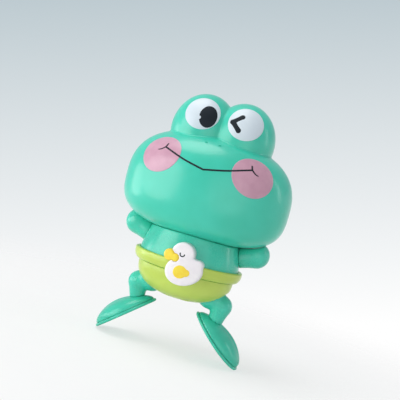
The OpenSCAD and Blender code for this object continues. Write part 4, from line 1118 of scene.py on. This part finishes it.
duck = dict(x=2.9, z=43.3, lean=15.0, wide=18.2, tall=14.2, headX=-0.2, headZ=7.9, headRadius=5.7,
            tailX=6.7, tailZ=2.3, tail=2.7, fillet=0.5, thick=1.9, round=1.1, billX=-6.9, billZ=7.8,
            bill=2.8, lipX=-3.9, lipZ=6.4, lip=2.0, wingX=-1.6, wingZ=-0.4, wingWide=6.6, wingTall=6.2,
            tipX=1.4, tipZ=-1.0, tip=1.7, softness=0.5, eyeX=-0.3, eyeZ=8.0, eye=1.1, eyeLine=0.42,
            eyeStart=142, eyeEnd=354, proud=0.12, billRound=1.1, billGap=0.03, billEdge=0.15,
            seatGap=0.05, seatEdge=0.1, back=-8.0, wingDeep=0.3, wingRim=0.1, wingGap=0.7,
            wingReach=9.0, behind=-23.0, eyeReach=6.0, step=0.34,
            box=((-9, -26, 34), (15, -14, 60)), billBox=((-10, -26, 43), (3, -14, 55)))
leanCos, leanSin = math.cos(math.radians(duck["lean"])), math.sin(math.radians(duck["lean"]))
badgeRadius = bandRadius + duck["thick"] / squeeze


def badgeFront(p):
    return (ovalRadius(p) - badgeRadius) * squeeze


def inDuck(u, v):
    u, v = u - duck["x"], v - duck["z"]
    return u * leanCos + v * leanSin, v * leanCos - u * leanSin


def outOfDuck(flat):
    turn = np.array([[leanCos, leanSin], [-leanSin, leanCos]])
    return np.asarray(flat) @ turn + (duck["x"], duck["z"])


def duckFlat(u, v):
    u, v = inDuck(u, v)
    top = np.hypot(u - duck["headX"], v - duck["headZ"]) - duck["headRadius"]
    tail = np.hypot(u - duck["tailX"], v - duck["tailZ"]) - duck["tail"]
    return softMin(softMin(ovalFlat(u, v, 0, 0, duck["wide"], duck["tall"]), top, duck["fillet"]),
                   tail, duck["fillet"])


def billFlat(u, v):
    u, v = inDuck(u, v)
    return softMin(np.hypot(u - duck["billX"], v - duck["billZ"]) - duck["bill"],
                   np.hypot(u - duck["lipX"], v - duck["lipZ"]) - duck["lip"], duck["softness"])


def wingFlat(u, v):
    u, v = inDuck(u, v)
    tip = np.hypot(u - duck["tipX"], v - duck["tipZ"]) - duck["tip"]
    oval = ovalFlat(u, v, duck["wingX"], duck["wingZ"], duck["wingWide"], duck["wingTall"])
    return softMin(oval, tip, duck["softness"])


def behindBadge(p):  # what the badge lies against
    rho, z = ovalRadius(p), p[:, 2]
    return np.minimum(trunksOut(rho, z), torsoOut(rho, z)) - duck["seatGap"]


def duckField(p):
    flat = duckFlat(p[:, 0], p[:, 2])
    plate = softMax(flat, badgeFront(p), duck["round"])
    plate = softMax(plate, -behindBadge(p), duck["seatEdge"])
    plate = softMax(plate, duck["billGap"] - billFlat(p[:, 0], p[:, 2]), duck["billEdge"])
    return np.maximum(plate, p[:, 1] - duck["back"])


def billField(p):
    plate = softMax(billFlat(p[:, 0], p[:, 2]), badgeFront(p) - duck["proud"], duck["billRound"])
    return np.maximum(softMax(plate, -behindBadge(p), duck["seatEdge"]), p[:, 1] - duck["back"])


body = mouldedPiece("duckBody", duckField, *duck["box"], duck["step"])
settle(body, "torso", "duck_plastic", "duck_badge")
bill = mouldedPiece("duckBill", billField, *duck["billBox"], duck["step"])
settle(bill, "torso", "duck_yellow", "duck_bill")
wingLoop = around(wingFlat, outOfDuck([duck["wingX"], duck["wingZ"]]), duck["wingReach"])
wing = inlay("duckWing", wingLoop, (0, duck["behind"], 0), (1, 0, 0), (0, 0, 1), badgeFront,
             duck["proud"], duck["wingDeep"], duck["wingRim"], duck["wingGap"])
settle(wing, "torso", "duck_yellow", "duck_wing")
flat = outOfDuck(arc(duck["eyeX"], duck["eyeZ"], duck["eye"], duck["eyeStart"], duck["eyeEnd"], 23))
spot = onSurface(badgeFront, upright(flat, duck["behind"]), ahead, duck["proud"] - duck["eyeLine"],
                 duck["eyeReach"])
closed = sweptLines("duckEye", [(spot, np.ones(len(spot)))], duck["eyeLine"], looks["ink_plastic"])
settle(closed, "torso", "ink_plastic", "duck_eye")
print("badge ready:", len(body.data.polygons))

# Winding knob.

knob = dict(radius=7.0, plate=1.6, hub=3.2, grip=3.4, bore=1.5, screwSeat=1.8, ribs=30, rib=0.42,
            ribLong=1.7, ribOut=0.3, plateEdge=0.4, hubEdge=0.5, gripEdge=0.8, gripFillet=1.0,
            plateFillet=0.7, cutEdge=0.2, step=0.3, reach=8.0, low=35.0, high=52.0)
knobFront, knobBack = (c[1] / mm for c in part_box("winding_knob"))


def knobField(p):
    z, seatY = shaft["z"], knobBack - knob["plate"]
    plate = rodY(p, 0, z, knobFront, knobFront + knob["plate"], knob["radius"] - knob["ribOut"],
                 knob["plateEdge"])
    hub = rodY(p, 0, z, knobFront, knobBack, knob["hub"], knob["hubEdge"])
    reach = knob["radius"] - knob["grip"] / 2
    grip = barY(p, (-reach, z), (reach, z), knob["grip"], knobFront, knobBack, knob["gripEdge"])
    whole = softMin(softMin(hub, grip, knob["gripFillet"]), plate, knob["plateFillet"])
    seat = np.minimum(rodY(p, 0, z, 0, seatY, knob["bore"]),
                      rodY(p, 0, z, seatY, far, knob["screwSeat"]))
    return softMax(whole, -seat, knob["cutEdge"])


def ribTree():
    tree, flow, given = growTree("rimRibs", [
        ("Count", "Int", 30), ("Radius", "Float", 0.007), ("Rib", "Float", 0.0004),
        ("Finish", "Material", None)])
    ring = flow.node("GeometryNodeMeshCircle", {},
                     {"Vertices": given["Count"], "Radius": given["Radius"]})[0]
    rib = flow.node("GeometryNodeMeshIcoSphere", {}, {"Radius": given["Rib"], "Subdivisions": 2})[0]
    tall = flow.node("GeometryNodeTransform", {},
                     {"Geometry": rib, "Scale": (1, 1, knob["ribLong"])})[0]
    soft = flow.node("GeometryNodeSetShadeSmooth", {}, {"Geometry": tall, "Shade Smooth": True})[0]
    ribs = flow.node("GeometryNodeInstanceOnPoints", {}, {"Points": ring, "Instance": soft})[0]
    turned = flow.node("GeometryNodeTransform", {},
                       {"Geometry": ribs, "Rotation": (math.pi / 2, 0.0, 0.0)})[0]
    endTree(flow, turned, given["Finish"])
    return tree


grip = mouldedPiece("windingKnob", knobField, (-knob["reach"], knobFront - 1, knob["low"]),
                    (knob["reach"], knobBack + 1, knob["high"]), knob["step"])
blank = bpy.data.meshes.new("knobRibs")  # the tree puts the ribs in its place
blank.from_pydata([(0, 0, 0)], [], [])
ribs = grow(placed("knobRibs", blank), ribTree(), {
    "Count": knob["ribs"], "Radius": (knob["radius"] - knob["rib"]) * mm, "Rib": knob["rib"] * mm,
    "Finish": looks["knob_plastic"]})
ribs.data.transform(Matrix.Translation((0, (knobFront + knob["plate"] / 2) * mm, shaft["z"] * mm)))
settle(grip, "winding", "knob_plastic", "winding_knob")
settle(ribs, "winding", "knob_plastic")
print("knob ready:", len(grip.data.polygons))

# What stays from the CAD model, with its finish.

finishOf = {
    "neck_plug": "plug_plastic", "squeaker_case": "plug_plastic", "squeaker_cap": "plug_plastic",
    "squeaker_reed": "reed_bronze", "neck_screws": "screw_steel", "torso_screws": "screw_steel",
    "trunk_screws": "screw_steel", "motor_screws": "screw_steel", "knob_screw": "screw_steel",
    "motor_case": "motor_plastic", "motor_cover": "motor_plastic", "mainspring": "spring_steel",
    "winding_arbor": "bright_steel", "hip_pins": "bright_steel", "great_wheel": "wheel_brass",
    "shaft_seal": "seal_rubber", "crank_gear": "gear_nylon", "governor_wheel": "gear_nylon",
    "kick_slider": "slider_acetal",
}
for name, slot in finishOf.items():
    nodes[name].data.materials.clear()
    nodes[name].data.materials.append(looks[slot])
print("inner parts dressed:", len(finishOf))

# Camera, light and backdrop.

shot = dict(azimuth=10.73, elevation=2.79, roll=15.28, target=(-2.6, 0.0, 76.73), distance=400.0,
            lens=72.0, sensor=36.0, nearest=0.01, farthest=20.0)
az, el, roll = (math.radians(shot[k]) for k in ("azimuth", "elevation", "roll"))
back = Vector((math.sin(az) * math.cos(el), -math.cos(az) * math.cos(el), math.sin(el)))
flatRight = Vector((math.cos(az), math.sin(az), 0))
flatUp = back.cross(flatRight)
camRight = flatRight * math.cos(roll) + flatUp * math.sin(roll)
camUp = flatUp * math.cos(roll) - flatRight * math.sin(roll)
target = Vector(shot["target"]) * mm

camera = placed("photoCamera", bpy.data.cameras.new("photoCamera"))
camera.data.lens, camera.data.sensor_width = shot["lens"], shot["sensor"]
camera.data.clip_start, camera.data.clip_end = shot["nearest"], shot["farthest"]
camera.matrix_world = Matrix.Translation(target + back * shot["distance"] * mm) @ Matrix(
    (camRight, camUp, back)).transposed().to_4x4()
bpy.context.scene.camera = camera

lamps = dict(
    key=dict(right=-0.95, up=0.34, near=0.52, wide=1.0, power=6.8, colour=(1.0, 0.998, 0.995)),
    rim=dict(right=-1.0, up=0.14, near=-0.16, wide=0.5, power=1.9, colour=(0.93, 0.99, 1.0)),
    top=dict(right=-0.1, up=1.0, near=0.12, wide=0.7, power=4.2, colour=(1.0, 1.0, 1.0)),
    side=dict(right=0.85, up=0.12, near=0.1, wide=0.1, tall=0.55, power=0.5,
              colour=(0.97, 0.99, 1.0)),
    fill=dict(right=0.2, up=0.05, near=1.1, wide=0.9, power=1.5, colour=(0.98, 0.99, 1.0)),
)
for name, lamp in lamps.items():
    made = placed(name + "Lamp", bpy.data.lights.new(name + "Lamp", "AREA"))
    made.data.shape, made.data.size = "ELLIPSE", lamp["wide"]
    made.data.size_y = lamp.get("tall", lamp["wide"])
    made.data.energy, made.data.color = lamp["power"], lamp["colour"]
    spot = target + camRight * lamp["right"] + camUp * lamp["up"] + back * lamp["near"]
    facing = (spot - target).to_track_quat("Z", "Y").to_matrix().to_4x4()
    made.matrix_world = Matrix.Translation(spot) @ facing

scene = bpy.context.scene
scene.view_settings.view_transform = "Standard"
sky = bpy.data.worlds.new("studio")
scene.world = sky
sky.use_nodes = True
sky.node_tree.nodes.clear()
air = Flow(sky.node_tree)
backdrop = dict(foot="#ffffff", footAt=0.19, top="#becbd1", topAt=1.0, pale=(0.96, 0.98, 1.0, 1.0),
                strength=0.42)
view = air.node("ShaderNodeTexCoord")[0]
upDot = air.node("ShaderNodeVectorMath", {"operation": "DOT_PRODUCT"}, {0: view, 1: tuple(camUp)})[1]
onward = air.node("ShaderNodeVectorMath", {"operation": "DOT_PRODUCT"}, {0: view, 1: tuple(-back)})[1]
# 0 at the foot of the frame and 1 at its top
tall = upDot / onward.most(0.2) * (shot["lens"] / shot["sensor"]) + 0.5
stops = [(backdrop["footAt"], paint(backdrop["foot"])), (backdrop["topAt"], paint(backdrop["top"]))]
wash = air.node("ShaderNodeValToRGB", {"stops": stops}, {0: tall})[0]
path = air.node("ShaderNodeLightPath")
seen = (path[0] + path[3] + path[6]).least(1.0)
pale = air.node("ShaderNodeBackground", {}, {"Color": backdrop["pale"],
                                             "Strength": backdrop["strength"]})[0]
shown = air.node("ShaderNodeBackground", {}, {"Color": wash, "Strength": 1.0})[0]
mixed = air.node("ShaderNodeMixShader", {}, {0: seen, 1: pale, 2: shown})[0]
air.node("ShaderNodeOutputWorld", {}, {0: mixed})

ground = dict(radius=300.0, solid=90.0, fade=280.0, whiter=0.6, rings=11, spokes=64, dust=0.02)
n = ground["spokes"]
turns = np.linspace(0, 2 * math.pi, n, endpoint=False)
points = [(0, 0, 0)] + [(r * math.cos(a), r * math.sin(a), 0)
                        for r in np.linspace(0, ground["radius"], ground["rings"] + 1)[1:]
                        for a in turns]
faces = [[0, 1 + i, 1 + (i + 1) % n] for i in range(n)]
for k in range(ground["rings"] - 1):
    near, out = 1 + k * n, 1 + (k + 1) * n
    faces += [[near + i, out + i, out + (i + 1) % n, near + (i + 1) % n] for i in range(n)]
floor = meshPiece("floor", points, faces)
look, flow = newLook("paleFloor")
where = flow.node("ShaderNodeTexCoord")[3]
away = flow.node("ShaderNodeVectorMath", {"operation": "LENGTH"}, {0: where})[1]
clear = flow.step(away, ground["solid"] * mm, ground["fade"] * mm)
dust = flow.noise(where, ground["dust"], 3.0)
tint = flow.blend(flow.step(dust, 0.4, 0.7) * 0.4, paint("#ffffff"), paint("#fbfcfd"))
matt = flow.node("ShaderNodeBsdfPrincipled", {}, {"Base Color": tint, "Roughness": 0.7,
                                                  "Specular IOR Level": 0.1})[0]
white = flow.node("ShaderNodeEmission", {}, {"Color": (1.0, 1.0, 1.0, 1.0), "Strength": 1.0})[0]
lifted = flow.node("ShaderNodeLightPath")[0] * ground["whiter"]  # the camera sees the floor paler
matt = flow.node("ShaderNodeMixShader", {}, {0: lifted, 1: matt, 2: white})[0]
glass = flow.node("ShaderNodeBsdfTransparent")[0]
faded = flow.node("ShaderNodeMixShader", {}, {0: clear, 1: matt, 2: glass})[0]
flow.node("ShaderNodeOutputMaterial", {}, {0: faded})
floor.data.materials.append(look)
print("studio ready")
